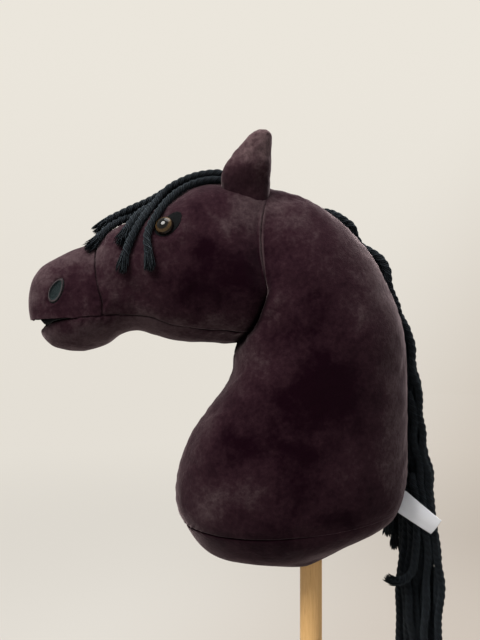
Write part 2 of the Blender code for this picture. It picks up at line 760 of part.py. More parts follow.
def make_eyes(cheeks, head_fill):
    washer_low = EYE_WASHER_TOP - EYE_WASHER_THICK
    washer = [
        (EYE_WASHER_BORE, EYE_WASHER_TOP),
        (EYE_WASHER_R, EYE_WASHER_TOP),
        (EYE_WASHER_R, washer_low),
        (EYE_WASHER_BORE, washer_low),
    ]
    for (side, sign), cheek in zip((("left", -1), ("right", 1)), cheeks):
        _, point, normal, ahead, up = flat_frame(head_skin, EYE_X, sign * EYE_AROUND)
        place_on(round_off(turned("eye_" + side, eye_profile(), "amber", 20)), point, normal, up)
        place_on(turned("eye_washer_" + side, washer, "washer", 20, True), point, normal, up)
        stem_mesh = cylinder_mesh("stem_hole_" + side, EYE_HOLE_R, -EYE_STEM_DEPTH, EYE_HEIGHT, 16)
        cut(cheek, place_on(cutter("stem_hole_" + side, stem_mesh), point, normal, up))
        pocket_r = EYE_WASHER_R + EYE_POCKET_CLEARANCE
        pocket_floor = -EYE_STEM_DEPTH - EYE_POCKET_CLEARANCE
        pocket_mesh = cylinder_mesh("eye_pocket_" + side, pocket_r, pocket_floor, EYE_HEIGHT, 24)
        cut(head_fill, place_on(cutter("eye_pocket_" + side, pocket_mesh), point, normal, up))
        angle = np.linspace(0, 2 * math.pi, 29)[:-1]
        long_oval = almond(angle, EYE_PATCH_LONG, EYE_PATCH_TALL, EYE_PATCH_POINT)
        outline = turn_plane(long_oval, EYE_PATCH_TURN)
        hole = turn_plane(almond(angle, EYE_PATCH_HOLE, EYE_PATCH_HOLE, 1), EYE_PATCH_TURN)
        felt_ring("eye_patch_" + side, EYE_X, sign, EYE_AROUND, outline, hole, "felt")


def make_nostrils():
    angle = np.linspace(0, 2 * math.pi, 21)[:-1]
    outline = turn_plane(almond(angle, NOSTRIL_LONG, NOSTRIL_WIDE, 1), NOSTRIL_TURN)
    for side, sign in (("left", -1), ("right", 1)):
        felt_ring("nostril_" + side, NOSTRIL_X, sign, NOSTRIL_AROUND, outline, outline * 0, "nostril_felt")


# Ears

def ear_points(sign):
    """The ear's outer face: an arc from its front edge, out and round its back, to its inner edge."""
    share = np.linspace(0, 1, 10)[:, None]
    rows = smooth_rows(EAR_OUTLINE, share[:, 0] * (len(EAR_OUTLINE) - 1)) * MM
    height, front, back = rows[:, 0:1], rows[:, 1:2], rows[:, 2:3]
    half = (back - front) / 2
    first = 180 - 25 * share ** 2
    last = -62 + 75 * share ** 2
    turn = np.radians(first + (last - first) * np.linspace(0, 1, 10)[None, :])
    cup = EAR_CUP * (half / half.max()) ** 0.7
    inner = np.where(turn < 0, EAR_INNER_REACH, 1.0)
    x = (front + back) / 2 + half * np.cos(turn)
    y = EAR_MIDDLE_Y + EAR_LEAN * (height - height[0]) + cup * np.sin(turn) * inner
    return np.stack([x, sign * y, np.broadcast_to(height, x.shape)], axis=-1)


def ear_layer(name, sign, depth, envelopes):
    """One of an ear's two layers, whose outer face is a depth inside the ear's outer face."""
    points = ear_points(sign)
    faces = grid_faces(*points.shape[:2])
    if sign < 0:
        faces = [face[::-1] for face in faces]
    obj = round_off(add(name, mesh_of(name, points.reshape(-1, 3), faces), "ear_plush"))
    solid = obj.modifiers.new("cloth", "SOLIDIFY")
    solid.thickness = EAR_LAYER
    solid.offset = -1 - 2 * depth / EAR_LAYER
    for envelope in envelopes:
        cut(obj, envelope)


def make_ears(envelopes):
    for side, sign in (("left", -1), ("right", 1)):
        ear_layer("ear_outer_" + side, sign, 0, envelopes)
        ear_layer("ear_lining_" + side, sign, EAR_LAYER + GAP, envelopes)


def make_envelopes():
    """The head's and the neck's outer shapes with a small clearance, to cut the ears by."""
    s = np.concatenate([[0.0, 0.4], np.arange(1, NOSE_BAND + 1.0), [8.5, 8.93]])
    head = inner_half(head_skin, s, ring_columns(seam_at(s), 8, 4), 1, -2 * GAP)
    s = np.concatenate([[0.0, 0.4], np.arange(1, 9.0)])
    columns = np.tile(np.linspace(0, 2, 13), (len(s), 1))
    neck = inner_half(neck_skin, s, columns, -1, -2 * GAP)
    return [
        cutter("head_envelope", stuffed_loft("head_envelope", head)),
        cutter("neck_envelope", stuffed_loft("neck_envelope", neck)),
    ]


# Mane and forelock

def crest_sections(along):
    """The neck's section numbers at distances along the crest from the poll."""
    s = np.linspace(0, BASE_SEAM, 601)
    points = neck_skin(s, 0.0)
    steps = np.linalg.norm(np.diff(points, axis=0), axis=1)
    return np.interp(along, np.concatenate([[0], np.cumsum(steps)]), s)


def crest_out(s):
    """The direction out of the crest, in the middle plane."""
    step = 0.05
    d = neck_skin(s + step, 0.0) - neck_skin(s - step, 0.0)
    d = d / np.linalg.norm(d, axis=-1, keepdims=True)
    return np.stack([-d[..., 2], d[..., 1], d[..., 0]], axis=-1)


def lane_surface(y, along):
    """Points and normals on the right of the neck, y from the middle plane."""
    s = crest_sections(along)
    width = smooth_rows(NECK, s)[..., HALF_WIDTH] * MM
    around = 2 / math.pi * np.arcsin((y / width) ** (NECK_POWER / 2))
    return s, neck_skin(s, around), skin_normal(neck_skin, s, around, -1)


def even_steps(start, end, spacing):
    return np.linspace(start, end, max(1, math.ceil((end - start) / spacing - 0.2)), endpoint=False)


def mane_route(lane, place, spacing=0.022):
    """The centre line of a mane cord: along the crest in its lane, over the cords below it, then hanging."""
    roots = MANE_ROOTS[lane]
    start = roots[place]
    number = sum(len(r) for r in MANE_ROOTS[:lane]) + place
    end = SHORT_CORDS.get((lane, place), MANE_END + 0.022 * math.sin(2.4 * number))
    stops = [start] + [r - CLIMBED for r in roots[place + 1:]] + [LEAVE, end]
    along = np.concatenate([even_steps(a, b, spacing) for a, b in zip(stops, stops[1:])] + [[end]])
    y = LANE_FIRST + LANE_PITCH * lane
    held = np.minimum(along, LEAVE)
    s, surface, normal = lane_surface(y, held)
    out = crest_out(s)
    lean = np.maximum((normal * out).sum(-1), 0.5)
    lift = (TAPE_GAP + TAPE_THICK + CORD_GAP + CORD_R) / lean
    level = np.zeros(len(along))
    for later in roots[place + 1:]:
        level += smooth_step((along - (later - CLIMB)) / (CLIMB - CLIMBED))
    points = surface + out * (lift + CORD_PITCH * level)[:, None]
    hang = np.maximum(along - LEAVE, 0)
    free = smooth_step(hang / SETTLE)
    wave = np.sin(2 * math.pi * hang / (0.150 + 0.012 * lane) + 1.3 * lane)
    points[:, 2] -= hang
    points[:, 0] += LANE_BACK[lane] * smooth_step((along - 0.25) / 0.15)
    points[:, 0] += free * (SWAY * wave + LANE_SPREAD[lane] * level)
    side_wave = np.sin(2 * math.pi * hang / SIDE_SWAY_LENGTH)
    points[:, 1] = y + free * (SIDE_SWAY * side_wave - 0.002)
    if (lane, place) == CURLED_CORD:
        curl = smooth_step((along - CURL_FROM) / CURL_OVER)
        points[:, 0] -= CURL_OUT * curl
        points[:, 2] += CURL_UP * curl * curl
    return points


def make_mane():
    number = 0
    for lane, roots in enumerate(MANE_ROOTS):
        for place in range(len(roots)):
            number += 1
            cord(f"mane_cord_{number:02d}", mane_route(lane, place), CORD_R, "cord")


def make_mane_tape():
    along = np.linspace(TAPE_FROM, TAPE_TO, 22)
    last_lane = TAPE_LANES + smooth_step((along - TAPE_WIDENS_AT) / TAPE_WIDENS_OVER)
    edge = LANE_FIRST + LANE_PITCH * last_lane + CORD_R
    columns = []
    for share in np.linspace(0, 1, 7):
        y = TAPE_NEAR + (edge - TAPE_NEAR) * share
        _, surface, normal = lane_surface(y, along)
        columns.append(surface + normal * (TAPE_GAP + TAPE_THICK))
    panel("mane_tape", np.stack(columns, axis=1), "tape", TAPE_THICK)


def forelock_route(rows, spacing=0.015):
    smooth = smooth_rows(rows, np.linspace(0, len(rows) - 1, 97))
    points = on_head(smooth[:, 0] * MM, smooth[:, 1], smooth[:, 2] * MM)
    steps = np.concatenate([[0], np.cumsum(np.linalg.norm(np.diff(points, axis=0), axis=1))])
    wanted = np.linspace(0, steps[-1], max(4, round(steps[-1] / spacing)) + 1)
    return np.stack([np.interp(wanted, steps, points[:, k]) for k in range(3)], axis=1)


def make_forelock():
    for number, rows in enumerate(FORELOCK, 1):
        cord(f"forelock_cord_{number}", forelock_route(rows), FORELOCK_R, "cord")


# Care label

def make_label():
    """A ribbon from the back seam, turned over the mane's near side and a little curled."""
    corners = np.array(LABEL_CORNERS) * MM
    t = np.linspace(0, 1, 7)[:, None, None]
    u = np.linspace(0, 1, 4)[None, :, None]
    upper = corners[0] * (1 - t) + corners[1] * t
    lower = corners[3] * (1 - t) + corners[2] * t
    points = upper * (1 - u) + lower * u
    points[..., 1] -= LABEL_CURL * np.sin(math.pi * t[..., 0])
    panel("care_label", points, "ribbon", LABEL_THICK)


# The whole toy

for old in list(bpy.data.objects):
    bpy.data.objects.remove(old, do_unlink=True)

PARTS = collection("hobby_horse")
CUTTERS = collection("cutters")

make_stick()
sleeve_bore = make_sleeve()
stick_hole = cutter("stick_hole", cylinder_mesh("stick_hole", GUSSET_HOLE_R, 0.50, 0.60, 40))
make_neck_fill(sleeve_bore)
head_filling = make_head_fill()
make_lip_fills()
make_neck_panels()
make_base_gusset(stick_hole)
cheek_panels = make_cheek_panels()
make_muzzle_panel()
make_jaw_gusset()
make_mouth()
make_eyes(cheek_panels, head_filling)
make_nostrils()
make_ears(make_envelopes())
make_mane_tape()
make_mane()
make_forelock()
make_label()
bpy.context.view_layer.update()
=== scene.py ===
"""Looks of a hobby horse: a stuffed plush horse's head on a wooden stick, with a mane of twisted cord.

Metres, +Z up. The horse faces -X, its left side is -Y and its right side is +Y.
The rows of sections and the cords' routes are the ones that the solids were made from.
"""

import math

import bmesh
import bpy
import numpy as np
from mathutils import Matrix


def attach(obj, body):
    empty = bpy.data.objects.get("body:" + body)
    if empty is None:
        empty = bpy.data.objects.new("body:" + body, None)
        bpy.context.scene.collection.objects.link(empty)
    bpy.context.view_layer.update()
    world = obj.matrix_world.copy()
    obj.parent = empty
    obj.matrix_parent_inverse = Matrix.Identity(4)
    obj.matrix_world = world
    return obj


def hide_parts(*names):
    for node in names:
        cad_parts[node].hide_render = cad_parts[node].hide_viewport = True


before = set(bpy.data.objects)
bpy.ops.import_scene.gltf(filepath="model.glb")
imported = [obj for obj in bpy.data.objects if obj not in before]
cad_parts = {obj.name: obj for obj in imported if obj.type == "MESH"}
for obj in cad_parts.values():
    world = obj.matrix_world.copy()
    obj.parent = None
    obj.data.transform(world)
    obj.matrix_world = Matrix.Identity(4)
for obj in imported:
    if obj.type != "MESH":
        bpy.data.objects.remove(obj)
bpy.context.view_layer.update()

MM = 0.001

# The powers of the arcs, which are quarters of superellipses
HEAD_POWER = 2.15
NECK_POWER = 2.05
# Around is 0 at the top and 2 at the bottom. The form's middle plane is met this far from both.
OFF_MIDDLE = 1e-4
# Sections of the head and neck, as in the solids, in millimetres:
# top x, z; side x, z; bottom x, z; half width; bow of the top arc, of the bottom arc; gusset seam
HEAD = [
    (-42, 927, -44, 821, -77, 770, 50, -8, 5, 1.50),
    (-59, 930, -62, 830, -89, 772.5, 57, -5, 3, 1.565),
    (-83, 931.5, -85, 840, -105, 773.5, 60, -2, 1, 1.61),
    (-108, 930, -110, 847, -123, 774, 59, -1, 0, 1.595),
    (-131, 921, -133, 847, -141, 775.5, 55.5, 0, 0, 1.56),
    (-155, 906.5, -156, 843, -157, 779.5, 50.5, 0, 0, 1.495),
    (-179, 895, -177, 835, -174, 784, 45.5, 0, 0, 1.48),
    (-198, 885, -194, 822, -190, 780.5, 42, -2, 0, 1.34),
    (-211, 875.5, -203, 813, -203, 772, 40, -3.5, 0, 1.20),
    (-225, 869.5, -224, 798, -221, 765.5, 39.5, -2, 0, 1.0),
]
NOSE_BAND = 8
MOUTH_CORNER = 9
# Up to this section, a place further on is also further forwards
NOSE_SECTION = 13
MUZZLE = [
    (-238, 865, -238, 797.2, -238, 797.2, 40, 0, 0, 1.0),
    (-254, 857, -252, 796.4, -252, 796.4, 38.5, 0, 0, 1.0),
    (-266, 850, -262, 795.8, -262, 795.8, 35.5, 0, 0, 1.0),
    (-273.5, 842, -268, 795.5, -268, 795.5, 31, 0, 0, 1.0),
    (-278, 834, -272, 795.3, -272, 795.3, 26.5, 0, 0, 1.0),
    (-280.5, 822, -275, 795.1, -275, 795.1, 20.5, 0, 0, 1.0),
    (-281, 810, -277, 795, -277, 795, 13.5, 0, 0, 1.0),
    (-280, 801, -278, 795, -278, 795, 7, 0, 0, 1.0),
    (-278.5, 795, -278.5, 795, -278.5, 795, 0, 0, 0, 1.0),
]
JAW = [
    (-234, 796.0, -234, 796.0, -230, 764, 38.5, 0, 0, 1.0),
    (-244, 794.0, -244, 794.0, -243, 765, 36, 0, 0, 1.0),
    (-252, 791.9, -252, 791.9, -254, 768, 32, 0, 0, 1.0),
    (-258, 789.4, -258, 789.4, -261, 772.5, 26, 0, 0, 1.0),
    (-263, 787.5, -263, 787.5, -266.5, 778, 18, 0, 0, 1.0),
    (-266.5, 786.3, -266.5, 786.3, -269, 783, 9, 0, 0, 1.0),
    (-268.5, 785.5, -268.5, 785.5, -268.5, 785.5, 0, 0, 0, 1.0),
]
NECK = [
    (-42, 927, -44, 821, -77, 770, 50, -8, 5, 1.0),
    (-5, 916, -42, 822, -77, 760, 57, -3, 3, 1.0),
    (25, 897, -30, 816, -78, 749, 61.5, 0, 1, 1.0),
    (53, 867, -18, 797, -83, 734, 64.5, 0, 0, 1.0),
    (73, 835, -12, 775, -93, 720, 67, 0, 0, 1.0),
    (89, 797, -9, 749, -107, 702, 69, 0, 0, 1.0),
    (95, 755, -13, 717, -121, 681, 70.5, 0, 0, 1.0),
    (96.5, 705, -17, 679, -131, 655, 72, 0, 0, 1.0),
    (96.5, 660, -19, 641, -135, 628, 71.5, 0, 1, 1.0),
    (94, 628, -20, 612, -133, 607, 68, 2, 4, 1.0),
    (85, 604, -21, 587.5, -124, 590, 60, 2, 3.5, 1.0),
    (74, 591.5, -22, 572, -112, 573.5, 49, 2, 3, 1.0),
    (53, 580, -23, 560.5, -95, 561, 36, 1, 2, 1.0),
    (37, 571.5, -16, 555.5, -64, 553.5, 26, 0, 0, 1.0),
    (22, 563, -8, 552.5, -33, 551, 18, 0, 0, 1.0),
    (11.8, 558.6, 0, 553.5, -11.8, 551.4, 11.8, 0, 0, 1.0),
]
# The neck's sections at its base seam, where the sewn seam is seen, and at the hole for the stick
BASE_SEAM = 10
SEAM_SEEN = 9.84
STICK_RING = 15
UPPER = HEAD + MUZZLE
LOWER = HEAD + JAW

# Mane. Lanes of cords lie beside each other on the crest, from the middle plane to the right. Distances
# along the crest start at the poll. Cords lie on each other a pitch apart, less where they are pressed.
CORD_R = 0.0038
CORD_PITCH = 0.0090
CORD_NEST = 0.0072
LANE_FIRST = 0.0055
LANE_PITCH = 0.0085
TAPE_THICK = 0.0012
TAPE_GAP = 0.0007
TAPE_NEAR = 0.0012
TAPE_FROM = 0.015
TAPE_TO = 0.350
# Where the cords leave the crest and hang
LEAVE = 0.362
# Where each lane's cords are sewn on
MANE_ROOTS = [
    (0.045, 0.268, 0.350),
    (0.030, 0.245, 0.318, 0.350),
    (0.060, 0.215, 0.288, 0.338),
    (0.038, 0.150, 0.245, 0.322),
    (0.050, 0.140, 0.225, 0.305),
    (0.165, 0.245, 0.325),
]
MANE_END = 0.578
# Cords by lane and place that end early, curl up or hang further forwards than their lane
SHORT_CORDS = {(4, 3): 0.414, (5, 2): 0.418, (5, 1): 0.430, (0, 2): 0.482}
CURLED_CORD = (0, 2)
CURL_FROM = 0.441
CURL_RADIUS = 0.0168
CORD_BACK = {(4, 3): 0.003}
# How far each lane hangs behind its crest line, and how far each cord on another moves it
LANE_BACK = (0.0062, 0.0035, 0.0035, 0.006, 0.011, 0.013)
LANE_SPREAD = (0.0022, 0.0002, 0.0010, -0.0008, -0.0008, -0.0008)
# How the cords wander on the crest: distance along it, shift to the right, shift outwards
CREST_WANDER = np.array([
    (0, 1, -1.5), (30, 7, -4.4), (60, 7, -4.4), (70, 3, -1.8), (78, 0, 0.0), (92, 0, -0.2),
    (100, 6, -3.6), (112, 6, -3.6), (122, 1, 0.0), (132, -1, 2.0), (148, -1, 2.2), (160, 2, -0.5),
    (175, 5, -2.8), (190, 6, -3.6), (198, 3, -1.0), (206, 0, 1.2), (235, 0, 1.6), (300, 0, 0),
]) * MM
# A cord climbs over the next one between these distances above that one's root. All roots sink into the pile.
CLIMB = 0.032
CLIMBED = -0.022
ROOT_SINK = 0.0034
MANE_THICK = 0.0041
FORELOCK_THICK = 0.0039
# Length of the frayed end, and how far it spreads
MANE_FRAY = (0.018, 0.62)
FORELOCK_FRAY = (0.021, 0.93)
# Forelock cords, point by point: x, around and height over the plush, x and height in millimetres
FORELOCK = [
    [(-74, 0, 9.8), (-98, 0, 9.8), (-125, 0, 9.8), (-150, 0, 9.9), (-172, 0, 10.4),
     (-188, -0.01, 10.6), (-198, -0.03, 10.2), (-206, -0.05, 8.8), (-213, -0.07, 7.2)],
    [(-74, 0.045, 3.8), (-98, 0.045, 3.8), (-125, 0.045, 3.8), (-150, 0.045, 3.8), (-172, 0.03, 3.8),
     (-186, -0.03, 3.8), (-196, -0.12, 3.8), (-205, -0.24, 3.8), (-213, -0.34, 3.8), (-221, -0.38, 3.9)],
    [(-74, -0.045, 3.8), (-98, -0.045, 3.8), (-125, -0.045, 3.8), (-148, -0.055, 3.8), (-160, -0.11, 3.8),
     (-168, -0.22, 3.8), (-174, -0.36, 3.9), (-180, -0.51, 3.9), (-187, -0.64, 4.0)],
    [(-74, -0.095, 9.8), (-98, -0.095, 9.8), (-125, -0.10, 9.8), (-138, -0.12, 9.3), (-148, -0.17, 6.4),
     (-156, -0.26, 4.1), (-163, -0.40, 3.9), (-172, -0.60, 3.9), (-179, -0.78, 3.9), (-183, -0.94, 4.2)],
    [(-74, -0.135, 3.8), (-95, -0.14, 3.8), (-114, -0.16, 3.8), (-128, -0.22, 3.8), (-140, -0.34, 4.0),
     (-150, -0.51, 4.8), (-156, -0.64, 5.2), (-157.5, -0.75, 5.0), (-156, -0.86, 4.0), (-154.5, -1.03, 4.2)],
    [(-74, 0.135, 3.8), (-95, 0.14, 3.8), (-114, 0.16, 3.8), (-129, 0.22, 3.8), (-142, 0.34, 4.0),
     (-153, 0.50, 4.8), (-160, 0.64, 5.2), (-162, 0.76, 4.6), (-161, 0.90, 4.2)],
    [(-74, 0.095, 9.8), (-98, 0.095, 9.8), (-125, 0.10, 9.8), (-140, 0.125, 9.2), (-150, 0.18, 6.2),
     (-159, 0.28, 4.1), (-169, 0.43, 3.9), (-178, 0.58, 3.9), (-184, 0.70, 4.1)],
]

# Eyes, nostrils and ears
EYE_X = -0.142
EYE_AROUND = 0.65
EYE_MIDDLE = np.array([EYE_X + 0.001, 0.0, 0.8855])
EYE_R = 0.0090
EYE_HEIGHT = 0.0062
EYE_PATCH_LONG = 0.0222
EYE_PATCH_TALL = 0.0100
EYE_PATCH_TURN = math.radians(-34)
NOSTRIL_X = -0.2477
NOSTRIL_AROUND = 0.74
NOSTRIL_LONG = 0.0124
NOSTRIL_WIDE = 0.0064
NOSTRIL_TURN = math.radians(114)
# From a nostril's middle out to its rim and back under it: share of the oval, height in millimetres
NOSTRIL_PROFILE = [
    (0, -0.9), (0.25, -0.9), (0.5, -0.7), (0.64, -0.3), (0.72, 0.0), (0.77, 0.7), (0.82, 1.15), (0.87, 1.35),
    (0.92, 1.3), (0.96, 1.1), (1.0, 0.6), (1.03, 0.0), (1.03, -0.8), (0.9, -1.6), (0.5, -1.9), (0.0, -1.9),
]
STITCHES = 48
# Ear outline in millimetres: height, front x, back x
EAR_OUTLINE = [
    (880, -84, -46),
    (909, -88, -43.5),
    (924, -89, -42.5),
    (940, -87.5, -41.5),
    (955.5, -77.5, -41),
    (967, -68, -40.3),
    (974.5, -61, -41),
    (979.3, -51.5, -45.0),
]
EAR_MIDDLE_Y = 0.0265
EAR_CUP = 0.0155
EAR_INNER_REACH = 0.62
EAR_LEAN = 0.03
# Name, solid's name, thickness, depth of its middle under the ear's outer face
EAR_LAYERS = (("back", "ear_outer", 0.0034, 0.0014), ("lining", "ear_lining", 0.0026, 0.0039))

# Care label corners, in millimetres: root top, end top, end bottom, root bottom
LABEL_CORNERS = [(94.4, -1.0, 624.3), (127, -16, 597.5), (119, -5, 582), (86.6, -1.0, 602.8)]
LABEL_CURL = 0.002
LABEL_ROLL = 0.0011

# Stick
STICK_R = 0.011
STICK_LENGTH = 0.850
STICK_CHAMFER = 0.0015

# Sewing, and how loose stuffing lifts the cloth: reach, size of the lumps, noise number
TUCK = 0.0050
CLOTH = 0.0012
LUMPS = ((0.0013, 0.052, 1), (0.0006, 0.021, 2), (0.00022, 0.008, 3))


# Smooth curves, noise and the stuffed form's surface

def smooth_rows(rows, s):
    """The rows' values at row number s, on a cubic curve through all of them."""
    rows = np.asarray(rows, float)
    s = np.asarray(s, float)
    first = np.clip(np.floor(s).astype(int), 0, len(rows) - 2)
    f = (s - first)[..., None]
    last = len(rows) - 1
    a, b = rows[np.clip(first - 1, 0, last)], rows[first]
    c, d = rows[first + 1], rows[np.clip(first + 2, 0, last)]
    return b + 0.5 * f * (c - a + f * (2 * a - 5 * b + 4 * c - d + f * (3 * (b - c) + d - a)))


def smooth_step(x):
    x = np.clip(x, 0, 1)
    return x * x * (3 - 2 * x)


def lattice(i, j, k, seed):
    """A number from 0 to 1 for each whole-number place, mixed from its three indices."""
    h = i.astype(np.int64) * 374761393 + j.astype(np.int64) * 668265263 + k.astype(np.int64) * 2147483647
    h = (h + seed * 144664) & 0xFFFFFFFF
    h = ((h ^ (h >> 13)) * 1274126177) & 0xFFFFFFFF
    return ((h ^ (h >> 16)) & 0xFFFF) / 65535.0


def noise(points, size, seed=0):
    """Smooth noise from -1 to 1: lattice numbers a size apart, blended by a smooth step each way."""
    q = points / size
    base = np.floor(q).astype(np.int64)
    f = q - base
    f = f * f * (3 - 2 * f)
    i, j, k = base[..., 0], base[..., 1], base[..., 2]
    fx, fy, fz = f[..., 0], f[..., 1], f[..., 2]
    total = 0
    for di, wx in ((0, 1 - fx), (1, fx)):
        for dj, wy in ((0, 1 - fy), (1, fy)):
            for dk, wz in ((0, 1 - fz), (1, fz)):
                total = total + lattice(i + di, j + dj, k + dk, seed) * wx * wy * wz
    return 2 * total - 1


def unit(v):
    return v / np.maximum(np.linalg.norm(v, axis=-1, keepdims=True), 1e-12)


def full_turn(count):
    """Angles once round in equal steps. The last one is a step before the first."""
    return np.linspace(0, 2 * math.pi, count + 1)[:-1]


def along_path(path):
    """How far each point of a path is from its first point, along it."""
    return np.concatenate([[0], np.cumsum(np.linalg.norm(np.diff(path, axis=0), axis=1))])


def carried(field, along, wanted):
    """A field's vectors at the wanted distances: straight lines between its rows, at the distances along."""
    return np.stack([np.interp(wanted, along, field[:, c]) for c in range(3)], axis=-1)


def drift(along, size, seed, row=0, column=0):
    """Noise from -1 to 1 along one line of the lattice."""
    return noise(np.stack([along, 0 * along + row, 0 * along + column], axis=-1), size, seed)


def skin(upper, lower, power, s, around):
    """Points of a stuffed form: s is the section, around is 0 at the top, 1 at the side, 2 at the bottom.

    Each arc is a quarter of a superellipse from the section's middle plane to its side, bent by its
    bow times the sine of the share of the way along it. A negative around is the left side.
    """
    s, around = np.broadcast_arrays(np.asarray(s, float), np.asarray(around, float))
    v = np.abs(around)
    is_top = v <= 1
    row = np.where(is_top[..., None], smooth_rows(upper, s), smooth_rows(lower, s)) * MM
    start = np.where(is_top[..., None], row[..., 0:2], row[..., 2:4])
    end = np.where(is_top[..., None], row[..., 2:4], row[..., 4:6])
    bow = np.where(is_top, row[..., 7], row[..., 8])
    angle = np.where(is_top, v, v - 1) * math.pi / 2
    fall = np.clip(np.cos(angle), 0, 1) ** (2 / power)
    rise = np.clip(np.sin(angle), 0, 1) ** (2 / power)
    along = np.where(is_top, 1 - fall, rise)
    out = np.where(is_top, rise, fall)
    d = end - start
    length = np.maximum(np.linalg.norm(d, axis=-1), 1e-9)
    push = bow * np.sin(math.pi * along)
    x = start[..., 0] + d[..., 0] * along - d[..., 1] / length * push
    z = start[..., 1] + d[..., 1] * along + d[..., 0] / length * push
    return np.stack([x, np.sign(around) * row[..., 6] * out, z], axis=-1)


def head_skin(s, around):
    return skin(UPPER, LOWER, HEAD_POWER, s, around)


def neck_skin(s, around):
    return skin(NECK, NECK, NECK_POWER, s, around)


def skin_normal(surface, s, around):
    """The outward unit normal of a surface: the cross product of its two slopes."""
    step = 0.02
    ds = surface(s + step, around) - surface(s - step, around)
    dv = surface(s, around + step) - surface(s, around - step)
    return unit(np.cross(dv, ds)) * (1 if surface is head_skin else -1)


def lumps(points):
    """How far loose stuffing pushes the cloth out or in.

    It is the sum of noise of three sizes, and of a soft ring round each eye: a bell curve of the
    distance from the eye in the side view.
    """
    far = np.linalg.norm((points - EYE_MIDDLE)[..., [0, 2]], axis=-1)
    near_eye = smooth_step((np.abs(points[..., 1]) - 0.010) / 0.020)
    ring = 0.0016 * near_eye * np.exp(-((far - 0.0175) / 0.0050) ** 2)
    loose = sum(reach * noise(points, size, seed) for reach, size, seed in LUMPS)
    return loose + ring


def on_head(x, around, lift):
    """Points and normals at x and around on the head, lifted off the plush."""
    sections = np.linspace(0, NOSE_SECTION, 521)
    xs = head_skin(sections[:, None], around[None, :])[..., 0]
    nearest = np.argmin(np.abs(xs - x[None, :]), axis=0)
    low = np.clip(nearest - 1, 0, len(sections) - 3)
    column = np.arange(len(x))
    x0, x1 = xs[low, column], xs[low + 2, column]
    s = sections[low] + (sections[2] - sections[0]) * np.clip((x - x0) / (x1 - x0), 0, 1)
    normal = skin_normal(head_skin, s, around)
    return head_skin(s, around) + normal * lift[..., None], normal


def section_at(x, around):
    """The head's section number where the line at this around passes x."""
    sections = np.linspace(0, NOSE_SECTION, 1301)
    return float(np.interp(-x, -head_skin(sections, around)[:, 0], sections))


def skin_frame(x, around):
    """A place on the head, its outward direction, and the directions forwards and up along the surface."""
    s = section_at(x, around)
    normal = skin_normal(head_skin, s, around)
    ahead = unit(np.array([-1.0, 0, 0]) + normal * normal[0])
    up = np.cross(ahead, normal)
    return head_skin(s, around), normal, ahead, up if up[2] > 0 else -up


# Meshes from grids of points

class Sheets:
    """Grids of points gathered into one mesh, with a UV place and a shade number for each point."""

    def __init__(self):
        self.points, self.quads, self.places, self.shades, self.naps_and_light = [], [], [], [], []
        self.count = 0

    def add(self, grid, place=None, shade=None, nap=None, around=False, flip=False):
        """Adds a grid of points, or a list of grids. around joins the last column to the first one."""
        grid = grid.reshape((-1,) + grid.shape[-3:])
        number, rows, cols = grid.shape[:3]
        i = np.arange(rows - 1)[:, None]
        j = np.arange(cols if around else cols - 1)[None, :]
        after = (j + 1) % cols
        one = np.stack([i * cols + j, i * cols + after, (i + 1) * cols + after, (i + 1) * cols + j], axis=-1)
        quads = one.reshape(1, -1, 4) + (np.arange(number) * rows * cols)[:, None, None] + self.count
        quads = quads.reshape(-1, 4)
        self.quads.append(quads[:, ::-1] if flip else quads)
        self.points.append(grid.reshape(-1, 3))
        self.places.append(np.zeros((grid[..., 0].size, 2)) if place is None else place.reshape(-1, 2))
        self.shades.append(np.zeros(grid[..., 0].size) if shade is None else shade.reshape(-1))
        self.naps_and_light.append(np.zeros(grid[..., 0].size) if nap is None else nap.reshape(-1))
        self.count += grid[..., 0].size
        return self

    def mesh(self, name, merge=True):
        points, quads = np.concatenate(self.points), np.concatenate(self.quads)
        mesh = bpy.data.meshes.new(name)
        mesh.vertices.add(len(points))
        mesh.vertices.foreach_set("co", points.astype(np.float32).ravel())
        mesh.loops.add(quads.size)
        mesh.loops.foreach_set("vertex_index", quads.astype(np.int32).ravel())
        mesh.polygons.add(len(quads))
        mesh.polygons.foreach_set("loop_start", np.arange(0, quads.size, 4, dtype=np.int32))
        mesh.update(calc_edges=True)
        layer = mesh.uv_layers.new(name="UVMap")
        layer.data.foreach_set("uv", np.concatenate(self.places)[quads.ravel()].astype(np.float32).ravel())
        for label, values in (("shade", self.shades), ("nap", self.naps_and_light)):
            layer = mesh.attributes.new(label, "FLOAT", "POINT")
            layer.data.foreach_set("value", np.concatenate(values).astype(np.float32))
        if merge:
            bm = bmesh.new()
            bm.from_mesh(mesh)
            bmesh.ops.remove_doubles(bm, verts=bm.verts, dist=0.00002)
            bmesh.ops.dissolve_degenerate(bm, edges=bm.edges, dist=0.000005)
            bm.to_mesh(mesh)
            bm.free()
        return mesh


def piece(name, mesh, finish, node, body="head"):
    """A finished piece: an object at the origin that rides on a body and stands for its CAD node."""
    obj = bpy.data.objects.new(name, mesh)
    bpy.context.scene.collection.objects.link(obj)
    mesh.materials.append(finish)
    mesh.shade_smooth()
    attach(obj, body)
    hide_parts(node)
    return obj


def refinished(node, finish):
    """A hidden CAD node keeps its shape and gets its finish."""
    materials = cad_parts[node].data.materials
    materials.clear()
    materials.append(finish)


def closed_mesh(name, rings, *fields):
    """A closed surface through rings of points, with its faces outwards. The fields go to Sheets.add."""
    mesh = Sheets().add(rings, *fields, around=True).mesh(name)
    bm = bmesh.new()
    bm.from_mesh(mesh)
    bmesh.ops.recalc_face_normals(bm, faces=bm.faces)
    bm.to_mesh(mesh)
    bm.free()
    return mesh


def with_ends(rings):
    """Rings of points between two more that are drawn in to the middle of the first and the last ring."""
    ends = [np.broadcast_to(rings[k].mean(axis=0), rings[:1].shape) for k in (0, -1)]
    return np.concatenate([ends[0], rings, ends[1]])


